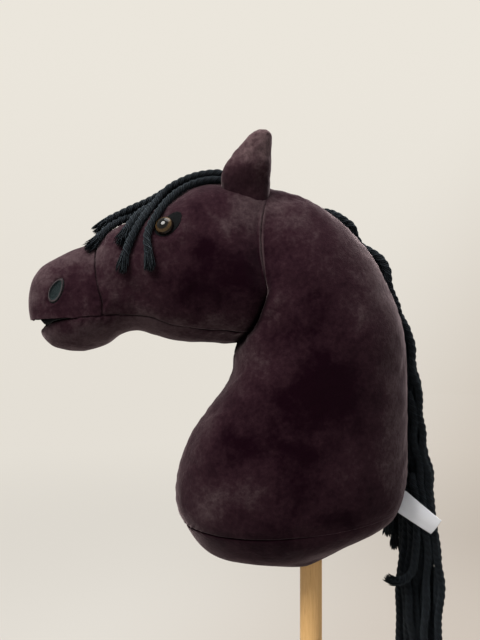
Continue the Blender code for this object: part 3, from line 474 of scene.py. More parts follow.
def cloth_wall(obj, thickness):
    """Gives an open sheet its thickness on its inner side."""
    solid = obj.modifiers.new("cloth", "SOLIDIFY")
    solid.thickness = thickness
    solid.offset = -1
    solid.use_even_offset = False
    return obj


# Finishes

class Wire:
    """A number in a shader, so that maths on it is written as Python. Each step adds a Math node."""

    def __init__(self, tree, socket):
        self.tree, self.socket = tree, socket

    def math(self, operation, *values):
        return Nodes(self.tree).node("Math", {"operation": operation}, dict(enumerate(values)))

    def __add__(self, other):
        return self.math("ADD", self, other)

    def __radd__(self, other):
        return self.math("ADD", other, self)

    def __sub__(self, other):
        return self.math("SUBTRACT", self, other)

    def __rsub__(self, other):
        return self.math("SUBTRACT", other, self)

    def __mul__(self, other):
        return self.math("MULTIPLY", self, other)

    def __rmul__(self, other):
        return self.math("MULTIPLY", other, self)

    def __truediv__(self, other):
        return self.math("DIVIDE", self, other)

    def __rtruediv__(self, other):
        return self.math("DIVIDE", other, self)

    def __pow__(self, other):
        return self.math("POWER", self, other)

    def sine(self):
        return self.math("SINE", self)

    def size(self):
        return self.math("ABSOLUTE", self)

    def root(self):
        return self.math("SQRT", self)

    def step(self, low, high):
        """0 below low and 1 above high, with a smooth change between them."""
        return Nodes(self.tree).node("MapRange", {"interpolation_type": "SMOOTHSTEP"},
                                     {"Value": self, "From Min": low, "From Max": high}, "Result")


def connect(tree, entry, value):
    if isinstance(value, Wire):
        tree.links.new(value.socket, entry)
    elif isinstance(value, (tuple, list)) and entry.type == "RGBA" and len(value) == 3:
        entry.default_value = (*value, 1)
    else:
        entry.default_value = value


class Nodes:
    """A tree of shader nodes, with one way to add any node."""

    def __init__(self, tree, output=None):
        self.tree, self.output = tree, output

    def node(self, kind, settings=None, inputs=None, out=0):
        node = self.tree.nodes.new("ShaderNode" + kind)
        for key, value in (settings or {}).items():
            setattr(node, key, value)
        for key, value in (inputs or {}).items():
            connect(self.tree, node.inputs[key], value)
        return Wire(self.tree, node.outputs[out])

    def part(self, vector, axis):
        return self.node("SeparateXYZ", inputs={"Vector": vector}, out=axis)

    def blend(self, share, first, second):
        return self.node("Mix", {"data_type": "RGBA"}, {0: share, 6: first, 7: second}, 2)

    def show(self, share, first, second):
        """What is seen at last: two shaders mixed by a share from 0 to 1."""
        both = self.node("MixShader", inputs={0: share, 1: first, 2: second})
        connect(self.tree, self.tree.nodes[self.output].inputs["Surface"], both)


class Finish(Nodes):
    """A material of the toy: its shader, and the patterns that its finishes share."""

    def __init__(self, name, **constants):
        self.material = bpy.data.materials.new(name)
        self.material.use_nodes = True
        super().__init__(self.material.node_tree, "Material Output")
        self.shader = self.tree.nodes["Principled BSDF"]
        self.set(**constants)

    def set(self, **values):
        for key, value in values.items():
            connect(self.tree, self.shader.inputs[key.replace("_", " ").title().replace("Ior", "IOR")], value)
        return self.material

    def place(self, stretch=(1, 1, 1)):
        return self.node("Mapping", inputs={"Vector": self.node("TexCoord", out="Object"), "Scale": stretch})

    def laid(self, axis):
        """One number of the mesh's own UV place."""
        return self.part(self.node("UVMap", {"uv_map": "UVMap"}), axis)

    def stored(self, name):
        """A number that is stored at each point of the mesh."""
        return self.node("Attribute", {"attribute_name": name}, out="Fac")

    def grain(self, place, size, detail=2.0, rough=0.5, twist=0.0):
        """Noise from 0 to 1 whose features are about size metres across."""
        return self.node("TexNoise", inputs={
            "Vector": place, "Scale": 1 / size, "Detail": detail, "Roughness": rough, "Distortion": twist})

    def bump(self, height, distance, strength=1.0, under=None):
        inputs = {"Height": height, "Distance": distance, "Strength": strength}
        if under is not None:
            inputs["Normal"] = under
        return self.node("Bump", inputs=inputs)

    def covered(self, share, shader):
        """Lays another shader over this finish, by a share from 0 to 1."""
        self.show(share, Wire(self.tree, self.shader.outputs[0]), shader)


def plush(name, dark, middle, light):
    """Short pile: clouds of darker and lighter nap round where it was stroked, with painted light and shade
    in some of its patches, small tufts, and painted shade in the seams.

    The shade stored beside a seam is above 0 for a painted highlight beside it, and below 0 for painted shade
    down in the seam's fold, which a matt near-black without sheen covers.
    """
    f = Finish(name, roughness=0.95, sheen_weight=0.26, sheen_roughness=0.36, sheen_tint=(1.0, 0.80, 0.82),
               specular_ior_level=0.01)
    here = f.place()
    clouds = f.grain(here, 0.046, 3.0, 0.55, 0.6)
    brush = f.grain(here, 0.017, 3.0, 0.55, 0.5)
    tufts = f.grain(here, 0.0042, 2.0, 0.6)
    pile = f.grain(here, 0.0012, 2.0, 0.7)
    beside = f.stored("shade")
    # The stored number and the noise give the pile's lie, with painted light and shade in some patches
    lie_and_light = f.stored("nap") * 0.62 + (clouds - 0.5) * 1.30 + (brush - 0.5) * 0.80 + (tufts - 0.5) * 0.60
    colour = f.blend((lie_and_light + 0.34).step(-0.30, 0.55), dark, middle)
    # Painted highlight beside the seams, where the stored shade is above 0
    colour = f.blend((lie_and_light + beside.step(0.0, 1.0) * 0.25).step(0.02, 0.80), colour, light)
    dense = tufts.step(0.35, 0.70) * 0.4 + pile.step(0.3, 0.65) * 0.6
    colour = f.blend(dense, f.blend(0.42, colour, dark), colour)
    colour = f.blend(beside.step(0.45, 1.2) * 0.60, colour, light)
    # Painted shade in the seams' folds, where the stored shade is below 0: a near-black colour, and a matt
    # cover without sheen
    crease_shade = (0 - beside).step(0.0, 1.0)
    colour = f.blend(crease_shade, colour, (0.0012, 0.0003, 0.0007))
    depth = f.blend(tufts, (0.0008, 0.0002, 0.0005), (0.0022, 0.0007, 0.0012))
    crease_shade_cover = {"Base Color": depth, "Roughness": 1.0, "Specular IOR Level": 0.0}
    f.covered(crease_shade, f.node("BsdfPrincipled", inputs=crease_shade_cover))
    relief = f.bump(brush, 0.0030, 0.22)
    relief = f.bump(tufts, 0.0010, 0.28, relief)
    relief = f.bump(pile, 0.0005, 0.6, relief)
    return f.set(base_color=colour, normal=relief)


def felt(name, dark, light):
    """Pressed felt: matted fibres of two shades."""
    f = Finish(name, roughness=0.95, sheen_weight=0.05, sheen_roughness=0.4, specular_ior_level=0.06)
    here = f.place()
    mat = f.grain(here, 0.0006, 3.0, 0.7, 1.2)
    cloud = f.grain(here, 0.006, 2.0)
    colour = f.blend((mat * 0.7 + cloud * 0.3).step(0.35, 0.68), dark, light)
    return f.set(base_color=colour, normal=f.bump(mat, 0.0004, 0.8))


def twisted_cotton(name):
    """Cotton cord: fine yarns laid slantwise with painted shade between them, painted shade down in the
    strands' grooves and among a frayed end's inner yarns, and worn in places.
    """
    f = Finish(name, roughness=0.9, sheen_weight=0.08, sheen_roughness=0.5, sheen_tint=(0.70, 0.88, 1.0),
               specular_ior_level=0.08)
    fuzz = f.grain(f.place(), 0.0010, 2.0, 0.65)
    yarns = (f.laid("X") * (2 * math.pi * YARNS_SEEN) + fuzz * 1.6).sine() * 0.5 + 0.5
    worn = f.grain(f.place(), 0.016, 2.0)
    # Darker between the yarns: painted shade in the gaps
    thread = (yarns * 0.75 + fuzz * 0.25).step(0.15, 0.95)
    colour = f.blend(thread, (0.0008, 0.0011, 0.0018), (0.0094, 0.0118, 0.0165))
    colour = f.blend(worn.step(0.50, 0.72) * yarns * 0.45, colour, (0.0225, 0.0262, 0.0330))
    # Painted shade in the strands' grooves and among a frayed end's inner yarns, by the shade number
    colour = f.blend(f.stored("shade") * 0.80 + 0.20, (0.0008, 0.0010, 0.0013), colour)
    relief = f.bump(yarns, 0.0010, 1.0)
    relief = f.bump(fuzz, 0.0004, 0.5, relief)
    return f.set(base_color=colour, normal=relief)


def woven_tape(name):
    """A plain weave of black cotton, with a row of stitches for each lane of cords."""
    f = Finish(name, roughness=0.95, sheen_weight=0.04, specular_ior_level=0.04)
    across, along = f.laid("X"), f.laid("Y")
    weave = (across * 5200.0).sine() * (along * 4200.0).sine() * 0.5 + 0.5
    row = ((across - LANE_FIRST) * (math.pi / LANE_PITCH)).sine().size().step(0.0, 0.22)
    stitch = (1 - row) * (along * 1800.0).sine().step(-0.2, 0.3)
    worn = f.grain(f.place(), 0.010, 2.0)
    colour = f.blend(weave * 0.7 + worn * 0.3, (0.0006, 0.0008, 0.0012), (0.0062, 0.0078, 0.0105))
    colour = f.blend(stitch * 0.5, colour, (0.013, 0.016, 0.020))
    return f.set(base_color=colour, normal=f.bump(weave * 0.5 + stitch * 0.5, 0.0005, 0.9))


def satin_ribbon(name):
    """White polyester ribbon: a fine weave, soft grey handling marks, and no print."""
    f = Finish(name, roughness=0.55, sheen_weight=0.2, specular_ior_level=0.4)
    across, along = f.laid("X"), f.laid("Y")
    weave = (across * 9000.0).sine() * (along * 7000.0).sine() * 0.5 + 0.5
    edge = (across - 0.5).size().step(0.44, 0.49)
    marks = f.grain(f.place(), 0.009, 3.0)
    colour = f.blend(marks.step(0.35, 0.75) * 0.5, (0.66, 0.68, 0.72), (0.58, 0.60, 0.64))
    colour = f.blend(edge * 0.3 + weave * 0.08, colour, (0.44, 0.46, 0.50))
    return f.set(base_color=colour, normal=f.bump(weave, 0.00015, 0.5), roughness=0.5 + weave * 0.15)


def sanded_pine(name):
    """A pine dowel: growth rings drawn out along the stick, fine pores and a few darker streaks."""
    f = Finish(name, specular_ior_level=0.35)
    long_grain = f.place((1, 1, 0.045))
    rings = f.grain(long_grain, 0.0046, 3.0, 0.55, 1.4)
    lines = ((rings * 34.0).sine() * 0.5 + 0.5) ** 1.6
    pores = f.grain(f.place((1, 1, 0.03)), 0.0007, 2.0, 0.6)
    streak = f.grain(f.place((1, 1, 0.10)), 0.012, 2.0, 0.5)
    colour = f.blend(lines * 0.34, (0.62, 0.375, 0.150), (0.49, 0.270, 0.092))
    colour = f.blend(streak.step(0.5, 0.72) * 0.28, colour, (0.40, 0.205, 0.068))
    colour = f.blend(pores.step(0.58, 0.72) * 0.4, colour, (0.27, 0.13, 0.05))
    relief = f.bump(pores, 0.0002, 0.35)
    return f.set(base_color=colour, normal=relief, roughness=0.46 + lines * 0.12 + pores * 0.1)


def glass_eye(name):
    """A toy eye, by distance from its centre in the UV map: black pupil, streaked amber iris, dark rim."""
    f = Finish(name, roughness=0.07, specular_ior_level=0.22)
    x, y = f.laid("X") - 0.5, f.laid("Y") - 0.5
    far = (x * x + y * y).root() * 2.0
    angle = x.math("ARCTAN2", y, x)
    streaks = f.grain(f.node("CombineXYZ", inputs={"X": angle * 3.0, "Y": far * 1.2}), 0.25, 3.0, 0.6)
    iris = f.blend(streaks.step(0.35, 0.7), (0.011, 0.0055, 0.0018), (0.056, 0.031, 0.011))
    iris = f.blend(far.step(0.66, 0.92) * 0.70, iris, (0.074, 0.045, 0.019))
    colour = f.blend((far + streaks * 0.05).step(0.64, 0.72), (0.001, 0.001, 0.001), iris)
    colour = f.blend(far.step(0.88, 0.95), colour, (0.006, 0.004, 0.003))
    return f.set(base_color=colour)


def fibre_fill(name):
    """White polyester wool: soft tangled clumps."""
    f = Finish(name, roughness=1.0, sheen_weight=0.3)
    wool = f.grain(f.place(), 0.004, 4.0, 0.7, 2.0)
    colour = f.blend(wool.step(0.3, 0.7), (0.70, 0.69, 0.66), (0.88, 0.87, 0.84))
    return f.set(base_color=colour, normal=f.bump(wool, 0.002, 0.9))


def moulded(name, dark, light, roughness):
    """Moulded plastic with a fine even grain."""
    f = Finish(name)
    grain = f.grain(f.place(), 0.0012, 2.0)
    colour = f.blend(grain.step(0.3, 0.7), dark, light)
    return f.set(base_color=colour, normal=f.bump(grain, 0.0001, 0.4), roughness=roughness + grain * 0.1)


# Camera and light. The wall's colours are its upper part, its lower part, a little darker as painted shade,
# and a painted shadow in its lower right corner.

WALL_HIGH = (0.83, 0.79, 0.715)
WALL_LOW = (0.775, 0.735, 0.665)
WALL_PAINTED_SHADOW = (0.53, 0.45, 0.375)
CAMERA = (-0.071, -0.9, 0.795)
# Name, place, aim, size, power, colour
LAMPS = (
    ("key", (-1.15, -1.05, 2.4), (-0.07, 0, 0.80), 1.1, 78, (1.0, 0.97, 0.93)),
    ("top", (0.10, -0.05, 2.7), (-0.05, 0, 0.80), 1.6, 40, (1.0, 0.98, 0.96)),
    ("far side", (0.95, 1.55, 1.55), (-0.02, 0, 0.78), 1.5, 42, (0.97, 0.98, 1.0)),
)


def make_camera():
    data = bpy.data.cameras.new("camera")
    data.sensor_width = 36
    data.lens = 50.6
    data.clip_end = 30
    camera = bpy.data.objects.new("camera", data)
    bpy.context.scene.collection.objects.link(camera)
    camera.location = CAMERA
    camera.rotation_euler = (math.pi / 2, 0, 0)
    bpy.context.scene.camera = camera
    bpy.context.scene.view_settings.view_transform = "Standard"


def area_light(name, place, aim, size, power, colour):
    data = bpy.data.lights.new(name, "AREA")
    data.shape = "DISK"
    data.size = size
    data.energy = power
    data.color = colour
    lamp = bpy.data.objects.new(name, data)
    bpy.context.scene.collection.objects.link(lamp)
    lamp.location = place
    toward = np.array(aim, float) - np.array(place, float)
    flat = math.hypot(toward[0], toward[1])
    lamp.rotation_euler = (math.atan2(flat, -toward[2]), 0, math.atan2(-toward[0], toward[1]))


def wall_colour(nodes, across, height):
    """Cream, a little deeper towards the ground as painted shade, with a painted shadow to the lower right,
    by the direction seen.
    """
    cream = nodes.blend(height.step(-0.12, 0.32), WALL_LOW, WALL_HIGH)
    return nodes.blend((across * 1.5 - height).step(0.10, 0.85), cream, WALL_PAINTED_SHADOW)


def seen_directly(nodes):
    """1 for what is looked at, also as a reflection, and 0 for the light that falls on the toy."""
    camera, glossy, through = (
        nodes.node("LightPath", out=f"Is {kind} Ray") for kind in ("Camera", "Glossy", "Transmission"))
    return (camera + glossy + through).step(0.0, 0.5)


def make_studio():
    """Three soft lamps, and a world that lights the toy as ground and sky and is seen as a pale wall."""
    for lamp in LAMPS:
        area_light(*lamp)
    world = bpy.data.worlds.new("studio")
    bpy.context.scene.world = world
    world.use_nodes = True
    studio = Nodes(world.node_tree, "World Output")
    seen = studio.node("TexCoord", out="Generated")
    height = studio.part(seen, "Z")
    sky = studio.blend(height.step(-0.3, 0.8), (0.165, 0.152, 0.145), (0.56, 0.57, 0.60))
    light = studio.tree.nodes["Background"]
    connect(studio.tree, light.inputs["Color"], sky)
    light.inputs["Strength"].default_value = 1.0
    wall = studio.node("Background", inputs={"Color": wall_colour(studio, studio.part(seen, "X"), height)})
    studio.show(seen_directly(studio), Wire(studio.tree, light.outputs[0]), wall)


def make_floor():
    """A wide disc at the stick's foot: rings of radius 0 to 9 m. Seen directly it is the wall's colour, with
    a share of its own lit surface that keeps the toy's shadow and fades out towards the rim."""
    turn = full_turn(96)
    radius = np.array([0.0, 0.5, 1, 2, 4, 6.5, 9])[:, None]
    grid = np.stack([radius * np.cos(turn), radius * np.sin(turn), np.zeros_like(radius * turn)], axis=-1)
    f = Finish("pale_floor", roughness=0.9, specular_ior_level=0.1)
    soft = f.grain(f.place(), 0.9, 2.0)
    f.set(base_color=f.blend(soft, (0.43, 0.41, 0.38), (0.46, 0.44, 0.41)))
    x, y = (f.part(f.place(), axis) for axis in "XY")
    far = (x * x + y * y).root()
    # Seen directly the floor shows the wall's colours, with their painted shade and painted shadow
    glow = f.node("Emission", inputs={"Color": wall_colour(f, x / (far + 1.0), 0 - CAMERA[2] / (far + 0.4))})
    f.covered(seen_directly(f) * (far.step(1.2, 5.0) * 0.22 + 0.78), glow)
    obj = bpy.data.objects.new("floor", Sheets().add(grid, around=True).mesh("floor"))
    obj.data.materials.append(f.material)
    bpy.context.scene.collection.objects.link(obj)


# Cords

STRAND_LAY = 0.0215
YARNS_SEEN = 9
# The yarns of a frayed end: how many, how many of them are uncut, how thick, and the turn between two
YARNS = 54
YARNS_FULL = 12
YARN_R = 0.00066
GOLDEN_ANGLE = 2.39996


def strand_radius(turn, twist):
    """A three-strand cord's outline: the outer edge of three round strands, with its grooves part filled."""
    third = 2 * math.pi / 3
    off = np.mod(turn - twist + third / 2, third) - third / 2
    centre, strand = 0.536, 0.464
    edge = centre * np.cos(off) + np.sqrt(np.maximum(strand ** 2 - (centre * np.sin(off)) ** 2, 0))
    return 0.78 + 0.22 * smooth_step((edge - 0.62) / 0.38)


def rope_mesh(name, path, reference, radius, seed, fray, flare):
    """A twisted cord along a path, with its far end frayed into yarns.

    Each ring has the strands' outline, turned by the distance along the cord over its lay. A yarn
    starts inside the last ring and spreads out along the path with a power of its share of the fray.
    """
    length = along_path(path)
    total = length[-1]
    ahead = unit(np.gradient(path, axis=0))
    side = unit(np.cross(ahead, reference))
    up = np.cross(side, ahead)
    rng = np.random.default_rng(seed * 7 + 3)
    sheets = Sheets()

    solid = length <= total - fray * 0.80
    here = length[solid, None]
    turn = np.linspace(0, 2 * math.pi, 22)[None, :]
    slip = 2 * math.pi * drift(length, 0.035, seed, row=seed)
    twist = (2 * math.pi * length / STRAND_LAY + 0.12 * slip + seed)[solid, None]
    outline = strand_radius(turn, twist)
    swell = 1 + 0.05 * drift(length, 0.016, seed + 9, column=seed)[solid, None]
    loose = 1 + 0.10 * smooth_step((here - total + fray * 1.7) / (fray * 0.9))
    start = np.clip(here / 0.0012, 0.0, 1) ** 0.5 * (0.66 + 0.34 * smooth_step(here / 0.011))
    r = radius * outline * swell * loose * start
    across = side[solid, None] * np.cos(turn)[..., None] + up[solid, None] * np.sin(turn)[..., None]
    rings = path[solid, None] + across * r[..., None]
    rings = np.concatenate([rings, path[solid][-1] + 0 * rings[-1:]])
    place = np.stack(np.broadcast_arrays((turn - twist) / (2 * math.pi), here), axis=-1)
    place = np.concatenate([place, place[-1:]])
    # Painted shade down in the grooves between the strands, as the shade number
    shade = smooth_step((outline - 0.80) / 0.14)
    sheets.add(rings, place, np.concatenate([shade, shade[-1:]]), flip=True)

    k = np.arange(YARNS)
    spread = np.sqrt((k + 0.5) / YARNS)
    heading = k * GOLDEN_ANGLE + seed
    start = total - fray * 1.08
    reach = np.where(k < YARNS_FULL, 1.0, rng.uniform(0.56, 1.0, YARNS) ** 0.8)
    t = np.linspace(0, 1, 8)
    at = start + (total - start) * reach[:, None] * t[None, :]
    spine, sides, ups = (carried(field, length, at) for field in (path, side, up))
    out = radius * 0.84 * spread[:, None] * (1 + flare * t[None, :] ** 1.25)
    bend = heading[:, None] + rng.uniform(-0.55, 0.55, YARNS)[:, None] * t[None, :] ** 2
    core = spine + sides * (out * np.cos(bend))[..., None] + ups * (out * np.sin(bend))[..., None]
    tube = full_turn(4)
    thick = np.where(t > 0.999, 0, YARN_R * (1.05 - t) ** 0.25)[None, :, None, None]
    rings = core[:, :, None] + thick * (
        sides[:, :, None] * np.cos(tube)[:, None] + ups[:, :, None] * np.sin(tube)[:, None])
    laid = tube[None, None] * 0.05 + k[:, None, None] * 0.37
    place = np.stack(np.broadcast_arrays(laid, at[..., None]), axis=-1)
    # Inner yarns of a frayed end get a lower shade number: painted shade among them
    painted_yarn_shade = np.broadcast_to((0.15 + 0.85 * spread ** 2)[:, None, None], rings.shape[:-1])
    sheets.add(rings, place, painted_yarn_shade, around=True, flip=True)
    return sheets.mesh(name)


def crest_sections(along):
    """The neck's section numbers at distances along the crest from the poll."""
    s = np.linspace(0, BASE_SEAM, 601)
    return np.interp(along, along_path(neck_skin(s, 0.0)), s)


def crest_out(s):
    """The direction out of the crest, in the middle plane."""
    d = unit(neck_skin(s + 0.05, 0.0) - neck_skin(s - 0.05, 0.0))
    return np.stack([-d[..., 2], d[..., 1], d[..., 0]], axis=-1)


def lane_surface(y, along):
    """Points and normals on the right of the neck, y from the middle plane."""
    s = crest_sections(along)
    width = smooth_rows(NECK, s)[..., 6] * MM
    around = 2 / math.pi * np.arcsin((y / width) ** (NECK_POWER / 2))
    return s, neck_skin(s, around), skin_normal(neck_skin, s, around)


def mane_route(lane, place, number):
    """The centre line of a mane cord: along the crest in its lane, over the cords below it, then hanging.

    The cords lie closer together on the crest than where they hang. Each hanging cord sways by two
    sines of the distance hung, with lengths and starts of its own.
    """
    start = MANE_ROOTS[lane][place]
    rng = np.random.default_rng(number + 300)
    end = SHORT_CORDS.get((lane, place), MANE_END + 0.022 * math.sin(2.4 * number))
    along = np.linspace(start, end, int((end - start) / 0.0013) + 2)
    window = (0.0025 + 0.0022 * lane) * np.linspace(-1, 1, 7)
    follow = (along - 0.006 * lane + 0.003 * math.sin(1.7 * number))[:, None] + window
    at, *shifts = CREST_WANDER.T
    aside, outward = ((1 - 0.11 * lane) * np.interp(follow, at, shift).mean(axis=1) for shift in shifts)
    y = LANE_FIRST + LANE_PITCH * lane + aside
    s, points, normal = lane_surface(y, np.minimum(along, LEAVE))
    out = crest_out(s)
    lean = np.maximum((normal * out).sum(-1), 0.5)
    lift = (TAPE_GAP + TAPE_THICK + CORD_R) / lean
    later = MANE_ROOTS[lane][place + 1:]
    level = sum((smooth_step((along - (root - CLIMB)) / (CLIMB - CLIMBED)) for root in later), 0 * along)
    pitch = CORD_NEST + (CORD_PITCH - CORD_NEST) * smooth_step((along - 0.35) / 0.12)
    points = points + out * (lift + pitch * level)[:, None]
    hang = np.maximum(along - LEAVE, 0)
    free = smooth_step(hang / 0.10)
    long_wave, short_wave = rng.uniform(0.13, 0.21, 2), rng.uniform(0.045, 0.075, 2)
    phase = rng.uniform(0, 2 * math.pi, 4)
    sway = [0.0030 * np.sin(2 * math.pi * hang / long_wave[c] + phase[c])
            + 0.0009 * np.sin(2 * math.pi * hang / short_wave[c] + phase[c + 2]) for c in (0, 1)]
    points[:, 2] -= hang
    points[:, 0] += CORD_BACK.get((lane, place), LANE_BACK[lane]) * smooth_step((along - 0.25) / 0.15)
    points -= out * (ROOT_SINK * (1 - smooth_step((along - start) / 0.024)))[:, None]
    points[:, 0] += free * (sway[0] + LANE_SPREAD[lane] * level)
    points[:, 1] = y + free * (sway[1] - 0.002)
    bob = smooth_step((along - start - 0.01) / 0.03) * smooth_step((LEAVE + 0.03 - along) / 0.05)
    points += out * (bob * 0.0013 * np.sin(2 * math.pi * along / 0.043 + 2.3 * number) + outward)[:, None]
    if (lane, place) == CURLED_CORD:
        beyond = np.maximum(along - CURL_FROM, 0)
        turned = beyond / CURL_RADIUS
        points[:, 0] -= CURL_RADIUS * (1 - np.cos(turned))
        points[:, 2] += beyond - CURL_RADIUS * np.sin(turned)
    return points


def twisted_cord(node, finish, path, reference, radius, seed, fray, flare):
    """One cord of the mane or the forelock: a twisted cord whose start sinks into the pile and whose far end
    is frayed.
    """
    mesh = rope_mesh(node + "_twisted", path, reference, radius, seed, fray, flare)
    obj = piece(node + "_twisted", mesh, finish, node=node)
    2 * radius


def make_mane(finish):
    places = [(lane, place) for lane, roots in enumerate(MANE_ROOTS) for place in range(len(roots))]
    for number, (lane, place) in enumerate(places):
        path = mane_route(lane, place, number)
        reference = np.broadcast_to([0.0, 1.0, 0.0], path.shape)
        node = f"mane_cord_{number + 1:02d}"
        twisted_cord(node, finish, path, reference, MANE_THICK, number + 1, *MANE_FRAY)


def forelock_route(rows):
    """The centre line of a forelock cord on the head and its normals, in even steps, each a mean of nine."""
    smooth = smooth_rows(rows, np.linspace(0, len(rows) - 1, 161))
    points, normal = on_head(smooth[:, 0] * MM, smooth[:, 1], smooth[:, 2] * MM)
    steps = along_path(points)
    wanted = np.linspace(0, steps[-1], int(steps[-1] / 0.0012))
    path, normal = carried(points, steps, wanted), carried(normal, steps, wanted)
    padded = np.pad(path, ((4, 4), (0, 0)), mode="edge")
    mean = np.stack([np.convolve(column, np.ones(9) / 9, "valid") for column in padded.T], axis=1)
    mean[:4], mean[-4:] = path[:4], path[-4:]
    return mean, normal


def make_forelock(finish):
    for number, rows in enumerate(FORELOCK, 1):
        path, normal = forelock_route(rows)
        path = path - normal * (ROOT_SINK * (1 - smooth_step(along_path(path) / 0.022)))[:, None]
        node = f"forelock_cord_{number}"
        twisted_cord(node, finish, path, normal, FORELOCK_THICK, number + 40, *FORELOCK_FRAY)


# Stuffing

# How far the stuffing may move the cloth, and how much of its move is kept
SWELL_CAP = 0.0016
SWELL_KEPT = 0.45
CLOTH_STEPS = 20

CLOTH_SETTINGS = {
    "quality": 6, "mass": 0.2, "tension_stiffness": 10, "compression_stiffness": 10, "shear_stiffness": 3,
    "bending_stiffness": 1.2, "shrink_min": -0.02}


def blurred(field, reach):
    """A field's running mean over reach rows and columns. The columns go round the form."""
    kernel = np.ones(2 * reach + 1) / (2 * reach + 1)
    wide = np.concatenate([field[:, -reach:], field, field[:, :reach]], axis=1)
    wide = np.apply_along_axis(np.convolve, 1, wide, kernel, "valid")
    tall = np.pad(wide, ((reach, reach), (0, 0), (0, 0)), mode="edge")
    return np.apply_along_axis(np.convolve, 0, tall, kernel, "valid")


def blown_up(name, grid, held, flip):
    """The points of a tube of cloth after stuffing presses it out, with no weight and some points held."""
    bag = bpy.data.objects.new(name, Sheets().add(grid, around=True, flip=flip).mesh(name, merge=False))
    bpy.context.scene.collection.objects.link(bag)
    group = bag.vertex_groups.new(name="seams")
    group.add([int(i) for i in np.flatnonzero(held.ravel())], 1.0, "REPLACE")
    cloth = bag.modifiers.new("stuffing", "CLOTH")
    for key, value in CLOTH_SETTINGS.items():
        setattr(cloth.settings, key, value)
    cloth.settings.use_pressure = True
    cloth.settings.uniform_pressure_force = 4
    cloth.settings.effector_weights.gravity = 0
    cloth.settings.vertex_group_mass = "seams"
    cloth.collision_settings.use_self_collision = False
    cloth.point_cache.frame_start = 1
    cloth.point_cache.frame_end = CLOTH_STEPS
    for step in range(1, CLOTH_STEPS + 1):
        bpy.context.scene.frame_set(step)
    bpy.context.view_layer.objects.active = bag
    bpy.ops.object.modifier_apply(modifier=cloth.name)
    moved = np.empty(grid.size, np.float32)
    bag.data.vertices.foreach_get("co", moved)
    bpy.data.objects.remove(bag)
    bpy.context.scene.frame_set(1)
    return moved.reshape(grid.shape).astype(float)


def stuffed_moves(name, surface, last, seams, rows, cols):
    """How the cloth of a form moves when stuffing presses it out, on a grid of rows and columns.

    A tube of cloth a little too large for its form is held along its seams and blown up. Most of its
    even swelling is taken off again, which leaves the folds and pulls by the seams.
    """
    s = np.linspace(0, last, rows)[:, None]
    v = np.linspace(-2, 2, cols + 1)[None, :-1]
    v = np.where(np.abs(v) < OFF_MIDDLE, OFF_MIDDLE, v)
    start = surface(s, v) - skin_normal(surface, s, v) * 0.0015
    seam_columns = [np.argmin(np.abs(v[0] - share)) for share in seams]
    held = np.zeros((rows, cols), bool)
    held[[0, -1]] = True
    held[:, seam_columns] = True
    moves = blown_up(name, start, held, flip=surface is neck_skin) - start
    moves[held] = 0
    moves = (moves - 0.85 * blurred(moves, 6)) * SWELL_KEPT
    down, across = np.arange(rows)[:, None], np.arange(cols)[None, :]
    away = np.minimum(down, rows - 1 - down) + 0 * across
    for column in seam_columns:
        gap = np.abs(across - column)
        away = np.minimum(away, np.minimum(gap, cols - gap))
    moves *= smooth_step(away / 4)[..., None]
    size = np.linalg.norm(moves, axis=-1, keepdims=True)
    return moves * np.minimum(1, SWELL_CAP / np.maximum(size, 1e-9))


def moves_at(moves, last, s, v):
    """The moves at sections s and around v, blended between grid points by a smooth step both ways."""
    rows, cols = moves.shape[:2]
    s, v = np.broadcast_arrays(np.asarray(s, float), np.asarray(v, float))
    looped = np.concatenate([moves[:, -2:], moves, moves[:, :3]], axis=1)
    row = np.clip(s / last, 0, 1) * (rows - 1)
    column = (v + 2) / 4 * cols + 2
    i, j = np.floor(row).astype(int), np.floor(column).astype(int)
    i = np.clip(i, 0, rows - 2)
    f, g = smooth_step(row - i)[..., None], smooth_step(column - j)[..., None]
    j = np.clip(j, 0, cols + 3)
    near = looped[i, j] * (1 - g) + looped[i, j + 1] * g
    far = looped[i + 1, j] * (1 - g) + looped[i + 1, j + 1] * g
    return near * (1 - f) + far * f


# Plush panels

def crowded(count, amount=0.72):
    """Numbers from 0 to 1 that crowd towards both ends: t minus a sine of t."""
    t = np.linspace(0, 1, count)
    return t - amount * np.sin(2 * math.pi * t) / (2 * math.pi)


def distances(grid, axis):
    """How far each point is from the first and from the last line of a grid, along the grid."""
    steps = np.linalg.norm(np.diff(grid, axis=axis), axis=-1)
    start = np.zeros_like(np.take(steps, [0], axis))
    from_first = np.concatenate([start, np.cumsum(steps, axis=axis)], axis=axis)
    return from_first, np.take(from_first, [-1], axis) - from_first


def seam_pull(distance, along, depth, width, pucker, wave, seed):
    """How a seam shapes the cloth beside it: a soft valley down into it, and puckers across it.

    The valley is one less the distance over its width, to a power. The puckers are a sine of the
    distance along the seam, strongest a third of their reach away from it.
    """
    roll = (1 - np.clip(distance / width, 0, 1)) ** 2.1
    strength = 0.65 + 0.5 * drift(along, 0.040, seed + 1, row=3)
    ripple = np.sin(2 * math.pi * along / wave + 2.6 * drift(along, 0.031, seed))
    reach = distance / (width * 0.8)
    return -depth * roll + pucker * strength * ripple * reach * np.exp(1 - reach)


def faint_behind(points):
    """The base seam shows in front of the stick and sinks into the pile behind it."""
    return 1 - smooth_step((points[..., 0] + 0.022) / 0.040)


def deep_below(points):
    """The throat seam is shallow on the cheek and deep where the jaw folds against the neck."""
    return 0.05 + 0.95 * smooth_step((0.822 - points[..., 2]) / 0.030)


